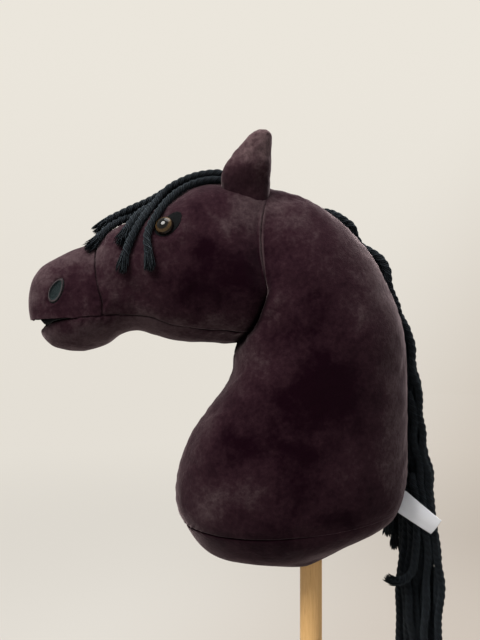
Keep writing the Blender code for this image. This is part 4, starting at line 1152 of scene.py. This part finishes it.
def piping(points, gap):
    """The height of the throat seam's raised edge above the fold, a narrow ridge, and its painted highlight,
    with painted shade in a band beside it.
    """
    upper = smooth_step((points[..., 2] - 0.816) / 0.024) * smooth_step((0.918 - points[..., 2]) / 0.030)
    gap = gap + 0.0006 * noise(points, 0.011, 61)
    height = 0.0011 * np.exp(-((gap - 0.0014) / 0.0016) ** 2)
    painted_pale = 1.30 * np.exp(-((gap - 0.0012) / 0.0018) ** 2) - 0.45 * np.exp(-((gap - 0.0054) / 0.0018) ** 2)
    return upper * height, upper * (painted_pale * (0.75 + 0.35 * noise(points, 0.017, 63)))


def fold_painted_shade(points, gap, on_neck):
    """The painted shade in the throat seam's fold under the jaw. It darkens more of the neck than of the jaw.
    """
    lower = 1 - smooth_step((points[..., 2] - 0.806) / 0.026)
    spread, power = (0.0098, 3) if on_neck else (0.0040, 2)
    return lower * np.exp(-(gap / spread) ** power)


# Where the pile lies pale (above 0) or dark, with painted light and shade among them: lighter on the top
# where the light falls and at the neck's back edge, darker in the middle of the neck. x, z and reach both
# ways in millimetres, amount
NAP_AND_PAINTED_LIGHT = [
    (-28, 908, 26, 18, 0.62), (22, 880, 30, 22, 0.45), (62, 828, 24, 42, 0.50),
    (-68, 905, 26, 22, 0.62), (-132, 893, 24, 12, 0.60), (-188, 832, 30, 18, 0.45),
    (-232, 858, 28, 12, 0.85), (-262, 838, 14, 24, 0.50), (-226, 772, 44, 12, 1.60),
    (-150, 784, 48, 10, 1.05), (-92, 790, 26, 10, 0.60), (-46, 752, 34, 24, 0.45),
    (-84, 700, 24, 14, 0.30), (-106, 630, 22, 24, 0.45), (-62, 626, 18, 12, 0.25),
    (18, 640, 26, 20, 0.28), (74, 700, 16, 80, 0.92), (40, 668, 20, 14, 0.35),
    (-30, 842, 12, 40, 0.25), (-110, 868, 12, 10, -0.85), (-74, 838, 30, 24, -0.95),
    (-118, 822, 24, 16, -0.55), (8, 728, 46, 32, -1.60), (-70, 672, 24, 20, -0.65),
    (-26, 668, 20, 34, -0.70), (16, 606, 24, 12, -0.85), (-8, 812, 18, 34, -0.60),
    (-252, 778, 14, 12, 0.55), (-214, 812, 12, 22, -0.45), (60, 628, 18, 16, -0.35),
    (-60, 590, 50, 12, -0.45), (0, 575, 60, 12, -0.40), (-268, 827, 8, 16, 0.50),
    (-240, 826, 8, 14, -0.50), (-214, 850, 20, 14, 0.40), (-190, 800, 26, 9, 0.40),
    (40, 800, 14, 34, 0.35), (-196, 862, 26, 12, 0.35), (-10, 640, 40, 22, -0.45),
]


def nap_and_painted_light(points):
    """The sum of round patches of nap and of painted light and shade, which fade with the square of the
    distance, with edges moved by noise.
    """
    x, z = (points[..., axis] + (0.010 * noise(points, 0.024, seed) + 0.004 * noise(points, 0.009, seed + 1))
            for axis, seed in ((0, 51), (2, 53)))
    total = np.zeros(x.shape)
    for px, pz, rx, rz, amount in NAP_AND_PAINTED_LIGHT:
        total += amount * np.exp(-((x - px * MM) / (rx * MM)) ** 2 - ((z - pz * MM) / (rz * MM)) ** 2)
    return np.clip(total, -1, 1)


def plush_grid(surface, s, v, edges, shared=None, moved=None, dent=None):
    """A panel's points, outward directions and seam shade: a painted highlight beside the seams, and painted
    shade in their folds.

    edges are the seams at the first and last row and the first and last column, or None. Rows and
    columns are added that tuck the cloth into each seam.
    """
    points, out = surface(s, v), skin_normal(surface, s, v)
    seam_fade = faint_behind(points)
    lip_fade = 1 - smooth_step((-0.218 - points[..., 0]) / 0.014)
    if moved is not None:
        points = points + moved(s, v)
    row_first, row_last = distances(points, 0)
    col_first, col_last = distances(points, 1)
    if shared is not None:
        near = np.exp(-row_first / 0.010)[..., None]
        out = unit(out * (1 - near) + shared * near)
    push = lumps(points)
    if dent is not None:
        push = push + dent(points)
    # A painted highlight beside each seam and painted shade in its fold, which go into the shade number
    painted_highlight, painted_shade = np.zeros(push.shape), np.zeros(push.shape)
    gaps, runs = (row_first, row_last, col_first, col_last), (col_first, col_first, row_first, row_first)
    for number, (edge, gap, run) in enumerate(zip(edges, gaps, runs)):
        if edge is None:
            continue
        depth, width, pucker, wave, dark = edge
        fade = {BASE: seam_fade, CHIN: lip_fade}.get(edge, 1)
        valley = deep_below(points) if edge is THROAT else fade
        push = push + valley * seam_pull(gap, run, depth, width, pucker, wave, 11 + number)
        if edge is THROAT:
            height, ridge_highlight = piping(points, gap)
            push = push + height
            painted_highlight = painted_highlight + ridge_highlight
            crease_shade = fold_painted_shade(points, gap, surface is neck_skin)
        else:
            painted_pale = np.exp(-((gap - width * 0.75) / (width * 0.45)) ** 2)
            painted_highlight = np.maximum(painted_highlight, painted_pale * np.clip((depth - 0.0009) / 0.0027, 0, 1))
            crease_shade = (0.85 + 0.45 * noise(points, 0.013, 71)) * np.exp(-(gap / 0.0011) ** 2)
        painted_shade = np.maximum(painted_shade, fade * (dark * crease_shade))
    shade = painted_highlight * (1 - np.clip(painted_shade, 0, 1)) - painted_shade
    points = points + out * push[..., None]
    for number, edge in enumerate(edges):
        if edge is None:
            continue
        axis, first = number // 2, number % 2 == 0
        border, way, tone = (np.take(field, [0 if first else -1], axis) for field in (points, out, shade))
        # The tucked rows get darker shade numbers: painted shade down inside the seam
        rows = [border - way * TUCK * 0.4, border - way * TUCK]
        added = (rows[::-1] if first else rows, [way, way], [tone - 0.3, tone - 1])
        points, out, shade = (np.concatenate(more + [field] if first else [field] + more, axis)
                              for field, more in zip((points, out, shade), added))
    return points, out, shade


def plush_panel(name, node, finish, surface, s, v, edges, shared=None, moved=None, dent=None):
    """A panel of plush cloth with its thickness, turned so that its faces look the way its surface does."""
    points, out, shade = plush_grid(surface, s, v, edges, shared, moved, dent)
    i, j = (n // 2 for n in points.shape[:2])
    down, across = points[i + 1, j] - points[i, j], points[i, j + 1] - points[i, j]
    flip = float(np.dot(np.cross(across, down), out[i, j])) < 0
    mesh = Sheets().add(points, points[..., [0, 2]], shade, nap_and_painted_light(points), flip=flip).mesh(name)
    cloth_wall(piece(name, mesh, finish, node=node), CLOTH)


def seam_around(s):
    """Where the jaw's seam, and in front of it the mouth line, runs round the head."""
    return np.maximum(smooth_rows(UPPER, s)[..., 9], 1.0)


# Seams: depth, width, pucker, wave length and how dark the painted shade in the seam's fold is
THROAT = (0.0042, 0.0130, 0.0007, 0.017, 0.90)
CREST = (0.0018, 0.0055, 0.0003, 0.012, 0.30)
FRONT = (0.0012, 0.0045, 0.0003, 0.013, 0.35)
BASE = (0.0009, 0.0026, 0.00045, 0.0085, 0.72)
HOLE = (0.0010, 0.0040, 0.0006, 0.0090, 0.50)
NOSE = (0.0011, 0.0036, 0.0003, 0.009, 0.66)
CHIN = (0.0010, 0.0036, 0.0004, 0.010, 0.52)
LIP = (0.0, 0.0040, 0.0, 0.010, 0.0)


def nostril_dent(points):
    """The plush sinks under each nostril's felt and puckers round its rim, by the distance in its oval."""
    total = 0
    c, s = math.cos(NOSTRIL_TURN), math.sin(NOSTRIL_TURN)
    for sign in (-1, 1):
        centre, _, ahead, up = skin_frame(NOSTRIL_X, sign * NOSTRIL_AROUND)
        away = points - centre
        x, y = away @ ahead, away @ up
        far = np.hypot((x * c + y * s) / NOSTRIL_LONG, (y * c - x * s) / NOSTRIL_WIDE)
        near = np.linalg.norm(away, axis=-1) < 0.035
        angle = np.arctan2(y, x)
        pucker = 0.00045 * np.sin(15 * angle + 2 * np.sin(3 * angle)) * np.exp(-((far - 1.42) / 0.22) ** 2)
        rim = 0.0006 * np.exp(-((far - 1.28) / 0.16) ** 2)
        total = total + near * (pucker + rim - 0.0036 * np.exp(-(far / 1.02) ** 6))
    return total


def shared_out(v):
    """The direction half way between the neck's and the head's normals, round the seam that they share."""
    start = np.zeros(1)
    return unit(skin_normal(neck_skin, start, v) + skin_normal(head_skin, start, v))


def make_plush(finish):
    """The cloth panels on grids of s and v: the neck's sides and base, the cheeks, the muzzle and the jaw."""
    neck_moves = stuffed_moves("neck_bag", neck_skin, SEAM_SEEN, (-2, 0), 84, 92)
    head_moves = stuffed_moves("head_bag", head_skin, NOSE_BAND, (-2, 0, -1.5, 1.5), 40, 76)

    def neck_moved(s, v):
        return moves_at(neck_moves, SEAM_SEEN, s, v)

    def head_moved(s, v):
        inside = smooth_step((seam_around(s) - np.abs(v)) / 0.14)
        return moves_at(head_moves, NOSE_BAND, s, v) * inside[..., None]

    s = crowded(176) * SEAM_SEEN
    v = crowded(108)[None, :] * 2
    inside = np.clip(v, OFF_MIDDLE, 2 - OFF_MIDDLE)
    for side, sign in (("left", -1), ("right", 1)):
        plush_panel(f"neck_plush_{side}", f"neck_panel_{side}", finish, neck_skin, s[:, None], sign * inside,
                    (THROAT, BASE, CREST, FRONT), shared_out(sign * v), neck_moved)

    s = SEAM_SEEN + (STICK_RING - SEAM_SEEN) * crowded(58, 0.6)
    half = np.linspace(OFF_MIDDLE, 2 - OFF_MIDDLE, 96)
    v = np.concatenate([half, -half[::-1]])[None, :]
    plush_panel("base_plush", "base_gusset", finish, neck_skin, s[:, None], v, (BASE, HOLE, None, None))

    s = crowded(130) * NOSE_BAND
    v = np.clip(seam_around(s)[:, None] * crowded(116)[None, :], OFF_MIDDLE, 2)
    for side, sign in (("left", -1), ("right", 1)):
        plush_panel(f"cheek_plush_{side}", f"cheek_panel_{side}", finish, head_skin, s[:, None], sign * v,
                    (THROAT, NOSE, CREST, CHIN), shared_out(sign * v[:1]), head_moved)

    s = np.concatenate([NOSE_BAND + 4 * crowded(42, 0.5), np.linspace(12.08, 17.9, 52)])
    v = seam_around(s)[:, None] * (crowded(112)[None, :] * 2 - 1)
    v = np.where(np.abs(v) < OFF_MIDDLE, OFF_MIDDLE, v)
    plush_panel("muzzle_plush", "muzzle_panel", finish, head_skin, s[:, None], v,
                (NOSE, None, LIP, LIP), dent=nostril_dent)

    s = np.concatenate([NOSE_BAND * crowded(92, 0.5), np.linspace(8.05, 15.92, 96)])
    seam = seam_around(s)[:, None]
    half = seam + OFF_MIDDLE + (2 - 2 * OFF_MIDDLE - seam) * np.linspace(0, 1, 34)[None, :] ** 1.15
    v = np.concatenate([-half, half[:, ::-1]], axis=1)
    plush_panel("jaw_plush", "jaw_gusset", finish, head_skin, s[:, None], v, (THROAT, None, CHIN, CHIN),
                shared_out(v[:1]))


def make_stuffing(finish):
    """Loose fibre inside the cloth: the same forms, a depth inside it, with noise for their lumps."""
    turn, upper, lower = (
        np.concatenate([np.linspace(first, last, count), np.linspace(-last, -first, count)])[None, :]
        for first, last, count in ((1e-3, 2 - 1e-3, 40), (1e-3, 0.97, 30), (1.06, 2 - 1e-3, 30)))
    forms = [
        ("neck_stuffing", "neck_fill", neck_skin, np.linspace(0.12, 12.6, 110), turn),
        ("head_stuffing", "head_fill", head_skin, np.linspace(0.12, 8.85, 70), turn),
        ("muzzle_stuffing", "muzzle_fill", head_skin, np.linspace(9.1, 15.6, 40), upper),
        ("jaw_stuffing", "jaw_fill", head_skin, np.linspace(9.1, 13.6, 36), lower),
    ]
    for name, node, surface, s, v in forms:
        points, out = surface(s[:, None], v), skin_normal(surface, s[:, None], v)
        depth = 0.0068 + 0.0006 * noise(points, 0.009, 5)
        mesh = closed_mesh(name, with_ends(points - out * depth[..., None]))
        piece(name, mesh, finish, node=node)


# Mouth

def lip_line(rows, x, column):
    table = np.array(rows[MOUTH_CORNER:])
    return np.interp(-x / MM, -table[:, 2], table[:, column]) * MM


def make_mouth(finish):
    """Two felt lips: rounded wedges between the mouth's roof and floor lines."""
    x = np.linspace(-0.2262, -0.2685, 44)
    roof, floor = lip_line(UPPER, x, 3) + 0.0009, lip_line(LOWER, x, 3) + 0.0002
    meet = roof - 0.74 * (roof - floor)
    width = np.minimum(lip_line(UPPER, x, 6), 0.040) - 0.0012
    low_width = np.minimum(lip_line(LOWER, x, 6) - 0.0014, width)
    turn = full_turn(64)[None, :]
    square_c = np.sign(np.cos(turn)) * np.abs(np.cos(turn)) ** 0.35
    square_s = np.sign(np.sin(turn)) * np.abs(np.sin(turn)) ** 0.6
    for name, node, keep, wide, low, high in (
            ("mouth_felt_upper", "mouth_lining_upper", x > -0.2650, width, meet + 0.00012, roof),
            ("mouth_felt_lower", "mouth_lining_lower", x > -0.2605, low_width, floor, meet - 0.00012)):
        xs, w, a, b = (values[keep, None] for values in (x, wide, low, high))
        back = 0.0058 * (1 - square_s) / 2 * smooth_step((-0.246 - xs) / 0.018)
        rings = np.stack([xs + back, w * square_c, (a + b) / 2 + (b - a) / 2 * square_s], axis=-1)
        piece(name, closed_mesh(name, with_ends(rings)), finish, node=node)


# Eyes and nostrils

def skin_patch(x, around, offsets, lift):
    """Points of a flat pattern laid on the head: offsets are metres forwards and up from a place.

    A move along the surface becomes a change of section and around, by the slopes of the surface there.
    """
    s = section_at(x, around)
    _, _, ahead, up = skin_frame(x, around)
    step = 0.02
    ds = (head_skin(s + step, around) - head_skin(s - step, around)) / (2 * step)
    dv = (head_skin(s, around + step) - head_skin(s, around - step)) / (2 * step)
    moves = offsets[..., 0:1] * ahead + offsets[..., 1:2] * up
    change = moves @ np.linalg.pinv(np.stack([ds, dv], axis=1)).T
    ss, vv = s + change[..., 0], around + change[..., 1]
    points = head_skin(ss, vv)
    return points + skin_normal(head_skin, ss, vv) * (lumps(points) + lift)[..., None]


def turned_oval(angle, long, tall, power, turn):
    """An oval whose height is a power of the sine of the angle, turned round its middle."""
    c, s = np.cos(angle), np.sin(angle)
    x, y = long * c, tall * np.sign(s) * np.abs(s) ** power
    cos, sin = math.cos(turn), math.sin(turn)
    return np.stack([x * cos - y * sin, x * sin + y * cos], axis=-1)


def patch_mesh(name, x, around, outline, height):
    """A raised shape on the head: rings from its centre to its outline, then down and under."""
    share = np.array([0, 0.2, 0.4, 0.6, 0.75, 0.86, 0.94, 0.985, 1.0, 1.0, 0.99, 0.9, 0.5, 0.0])
    lift = height(share)
    lift[-5:] = [height(np.array([1.0]))[0] * 0.5, 0.0, -0.0009, -0.0012, -0.0012]
    offsets = outline[None] * share[:, None, None]
    points = skin_patch(x, around, offsets, np.broadcast_to(lift[:, None], offsets.shape[:2]))
    place = np.stack([np.broadcast_to(share[:, None], offsets.shape[:2]), offsets[..., 0]], axis=-1)
    return closed_mesh(name, points, place)


def make_eyes(eye_finish, felt_finish, washer_finish):
    """Felt almonds with ragged edges, and on each a dome: rings that rise as the root of 1 less their share
    squared, then a lip and the stem inside. The washer on the stem keeps its shape."""
    turn = full_turn(72)
    long = EYE_PATCH_LONG * np.where(np.cos(turn) > 0, 0.50, 0.92)
    outline = turned_oval(turn, long, EYE_PATCH_TALL * 0.96, 1.05, EYE_PATCH_TURN)
    outline = outline * (1 + 0.012 * np.sin(turn * 17) + 0.010 * np.sin(turn * 29 + 1))[:, None]
    t = np.concatenate([np.linspace(0, 1, 22), [1.015, 1.0, 0.94, 0.30, 0.27, 0.27, 0.20, 0.0]])
    rise = EYE_HEIGHT * np.sqrt(np.clip(1 - t ** 2, 0, 1)) + 0.0022
    rise[22:] = [0.0018, 0.0013, 0.0011, 0.0010, 0.0008, -0.0098, -0.0104, -0.0104]
    place = np.stack([0.5 + 0.5 * t[:, None] * np.cos(turn), 0.5 + 0.5 * t[:, None] * np.sin(turn)], axis=-1)
    for side, sign in (("left", -1), ("right", 1)):
        around = sign * EYE_AROUND
        mesh = patch_mesh(f"eye_felt_{side}", EYE_X, around, outline, lambda a: 0.0012 - 0.0003 * a ** 4)
        piece(f"eye_felt_{side}", mesh, felt_finish, node=f"eye_patch_{side}")
        _, normal, ahead, _ = skin_frame(EYE_X, around)
        beside = np.cross(ahead, normal)
        base = skin_patch(EYE_X, around, np.zeros((1, 2)), np.zeros(1))[0]
        across = ahead * np.cos(turn)[:, None] + beside * np.sin(turn)[:, None]
        rings = base + normal * rise[:, None, None] + (EYE_R * t)[:, None, None] * across[None]
        mesh = closed_mesh(f"eye_dome_{side}", rings, place)
        piece(f"eye_dome_{side}", mesh, eye_finish, node=f"eye_{side}")
        refinished(f"eye_washer_{side}", washer_finish)


def make_nostrils(felt_finish):
    """Sunk felt ovals with a raised rim of satin stitches: the rim's height has a sine for each stitch."""
    turn = full_turn(288)
    outline = turned_oval(turn, NOSTRIL_LONG, NOSTRIL_WIDE * (1 - 0.17 * np.cos(turn)), 1.0, NOSTRIL_TURN)
    share, dish = np.array(NOSTRIL_PROFILE).T
    rim = np.clip(1 - np.abs(share - 0.90) / 0.10, 0, 1)
    rim[-4:] = 0
    stitch = 0.00022 * np.sin(STITCHES * turn)[None, :] * rim[:, None]
    offsets = outline[None] * share[:, None, None]
    place = np.stack(np.broadcast_arrays(share[:, None], turn), axis=-1)
    shade = np.broadcast_to(rim[:, None], stitch.shape)
    for side, sign in (("left", -1), ("right", 1)):
        points = skin_patch(NOSTRIL_X, sign * NOSTRIL_AROUND, offsets, (dish * MM)[:, None] + stitch)
        mesh = closed_mesh(f"nostril_felt_{side}", points, place, shade)
        piece(f"nostril_felt_{side}", mesh, felt_finish, node=f"nostril_{side}")


def nostril_finish():
    """Dark grey-green felt, with the rim's paler stitches by the shade number."""
    f = Finish("nostril_felt", roughness=0.95, sheen_weight=0.06, specular_ior_level=0.04)
    threads = (f.laid("Y") * (2.0 * STITCHES)).sine() * 0.5 + 0.5
    mat = f.grain(f.place(), 0.0007, 3.0, 0.7)
    rim = f.stored("shade")
    inside = f.blend(mat.step(0.35, 0.7), (0.0040, 0.0066, 0.0074), (0.0165, 0.0240, 0.0245))
    edge = f.blend(threads * 0.6 + mat * 0.4, (0.022, 0.017, 0.019), (0.064, 0.052, 0.054))
    colour = f.blend(rim.step(0.15, 0.5), inside, edge)
    return f.set(base_color=colour, normal=f.bump(threads * rim * 0.5 + mat * 0.5, 0.0004, 0.7))


# Ears

def ear_surface(h, a):
    """The left ear's outer face: h is the share of its height, a goes from its front edge round its back.

    Each level is an arc of an ellipse whose ends draw together towards the tip. Towards the root the
    arc comes in to the middle plane and deepens, so that its seam is lowest half way along.
    """
    rows = smooth_rows(EAR_OUTLINE, h * (len(EAR_OUTLINE) - 1)) * MM
    height, front, back = rows[..., 0], rows[..., 1], rows[..., 2]
    half = (back - front) / 2
    first, last = 180 - 25 * h ** 2, -62 + 75 * h ** 2
    turn = np.radians(first + (last - first) * a)
    x = (front + back) / 2 + half * np.cos(turn)
    gathered = 1 - smooth_step((height - 0.912) / 0.034)
    cup = EAR_CUP * (half / 0.0230) ** 0.7 * (1 + 0.42 * gathered)
    inner = np.where(turn < 0, EAR_INNER_REACH * (1 - 0.8 * gathered), 1.0)
    bend = np.sign(np.sin(turn)) * np.abs(np.sin(turn)) ** (1 - 0.5 * gathered)
    y = EAR_MIDDLE_Y - 0.0160 * gathered + EAR_LEAN * (height - 0.880) + cup * bend * inner
    return np.stack([x, -y, height], axis=-1)


def ear_normal(h, a):
    step = 0.01
    dh = ear_surface(np.minimum(h + step, 1), a) - ear_surface(np.maximum(h - step, 0), a)
    da = ear_surface(h, np.minimum(a + step, 1)) - ear_surface(h, np.maximum(a - step, 0))
    return unit(np.cross(da, dh))


def make_ears(finish):
    """Two soft layers: each swells from nothing at its edges to its full thickness."""
    h, a = np.broadcast_arrays(np.linspace(0, 1, 70)[:, None] ** 0.85, crowded(84, 0.8)[None, :])
    mid, out = ear_surface(h, a), ear_normal(h, a)
    if np.mean(out[10:40, 20:50, 1]) > 0:
        out = -out
    edge = np.minimum(np.minimum(a, 1 - a) / 0.09, (1 - h) / 0.06)
    swell = np.sqrt(np.clip(1 - (1 - np.clip(edge, 0, 1)) ** 2, 0, 1))
    wavy = 0.0005 * noise(mid, 0.004, 21) + 0.0010 * noise(mid, 0.016, 22)
    mid = mid + (0.0011 * noise(mid, 0.0030, 25) * (1 - swell) ** 2)[..., None] * np.array([1.0, 0.0, 0.6])
    # A painted highlight round the ear's edges, stored as the shade number
    painted_rim_highlight = 1 - np.concatenate([swell, swell[:, ::-1]], axis=1)
    for side, sign in (("left", 1), ("right", -1)):
        for layer, node, thick, deep in EAR_LAYERS:
            core = mid - out * (deep - wavy)[..., None]
            half = out * (thick / 2 * swell)[..., None]
            rings = np.concatenate([core + half, (core - half)[:, ::-1]], axis=1) * np.array([1, sign, 1])
            # Lighter towards the tip: painted light from above, with noise
            nap = 1.50 * smooth_step((rings[..., 2] - 0.905) / 0.055) - 0.72 + 0.35 * noise(rings, 0.014, 24)
            mesh = closed_mesh(f"ear_{layer}_{side}", rings, rings[..., [0, 2]], painted_rim_highlight * 0.6, nap)
            obj = piece(f"ear_{layer}_{side}", mesh, finish, node=f"{node}_{side}")


# Tape, label and stick

def make_tape(finish):
    """A strip of cloth on the crest, from near the middle plane out past the fifth lane, and past the sixth
    one where that starts."""
    along = np.linspace(TAPE_FROM, TAPE_TO, 150)[:, None]
    far = LANE_FIRST + LANE_PITCH * (4 + smooth_step((along - 0.085) / 0.055)) + CORD_R
    near = TAPE_NEAR + 0.011 * (1 - smooth_step((along - 0.040) / 0.040))
    y = near + (far - near) * np.linspace(0, 1, 22)[None, :]
    _, surface, normal = lane_surface(y, np.broadcast_to(along, y.shape))
    points = surface + normal * (TAPE_GAP + TAPE_THICK)
    place = np.stack(np.broadcast_arrays(y, along), axis=-1)
    mesh = Sheets().add(points, place, flip=True).mesh("mane_tape_woven")
    obj = cloth_wall(piece("mane_tape_woven", mesh, finish, node="mane_tape"), TAPE_THICK)


def make_label(finish):
    """A ribbon between its four corners, curled by a sine along it and rolled a little across it."""
    root_top, end_top, end_bottom, root_bottom = np.array(LABEL_CORNERS) * MM
    t, u = np.linspace(0, 1, 60)[:, None], np.linspace(0, 1, 30)[None, :]
    upper = root_top * (1 - t[..., None]) + end_top * t[..., None]
    lower = root_bottom * (1 - t[..., None]) + end_bottom * t[..., None]
    points = upper * (1 - u[..., None]) + lower * u[..., None]
    points[..., 1] -= LABEL_CURL * np.sin(math.pi * t) + LABEL_ROLL * np.sin(math.pi * u) * t
    points[..., 1] += 0.0005 * noise(points, 0.012, 31)
    points = np.concatenate([points[:1] - np.array([0.004, 0, -0.001]), points])
    place = np.stack(np.broadcast_arrays(u, np.concatenate([[[-0.1]], t])), axis=-1)
    mesh = Sheets().add(points, place).mesh("care_label_ribbon")
    obj = cloth_wall(piece("care_label_ribbon", mesh, finish, node="care_label"), 0.0006)


def make_stick(finish):
    """A dowel: rings of one radius with a chamfer at each end, and a trace of unevenness along it."""
    turn = full_turn(96)
    foot_z = np.array([0, 0, STICK_CHAMFER * 0.5, STICK_CHAMFER])
    foot_r = np.array([0, STICK_R - STICK_CHAMFER, STICK_R - STICK_CHAMFER * 0.35, STICK_R])
    shaft_z = np.linspace(0.006, STICK_LENGTH - 0.006, 120)
    z = np.concatenate([foot_z, shaft_z, STICK_LENGTH - foot_z[::-1]])[:, None]
    r = np.concatenate([foot_r, np.full(120, STICK_R), foot_r[::-1]])[:, None]
    rings = np.stack(np.broadcast_arrays(r * np.cos(turn), r * np.sin(turn), z), axis=-1)
    rings[4:-4, :, :2] *= (1 - 0.004 * np.abs(noise(rings[4:-4], 0.06, 41)))[..., None]
    mesh = closed_mesh("stick_wood", rings)
    piece("stick_wood", mesh, finish, node="stick", body="stick")


# The whole toy

make_camera()
cord_finish = twisted_cotton("cord")
make_mane(cord_finish)
make_forelock(cord_finish)
make_studio()
make_floor()
make_plush(plush("plush", (0.0046, 0.0007, 0.0024), (0.0188, 0.0078, 0.0110), (0.050, 0.0325, 0.0355)))
make_stuffing(fibre_fill("stuffing"))
black_felt = felt("felt", (0.0010, 0.0011, 0.0013), (0.0048, 0.0052, 0.0060))
make_mouth(black_felt)
make_eyes(glass_eye("amber_eye"), black_felt, moulded("washer", (0.66, 0.66, 0.63), (0.78, 0.78, 0.75), 0.4))
make_nostrils(nostril_finish())
# The ears' plush: the body's plush in lighter colours, painted light from above
make_ears(plush("ear_plush", (0.0100, 0.0036, 0.0058), (0.026, 0.0130, 0.0160), (0.082, 0.054, 0.056)))
make_tape(woven_tape("tape"))
make_label(satin_ribbon("ribbon"))
make_stick(sanded_pine("wood"))
refinished("stick_sleeve", moulded("sleeve_tube", (0.40, 0.29, 0.17), (0.52, 0.40, 0.25), 0.6))
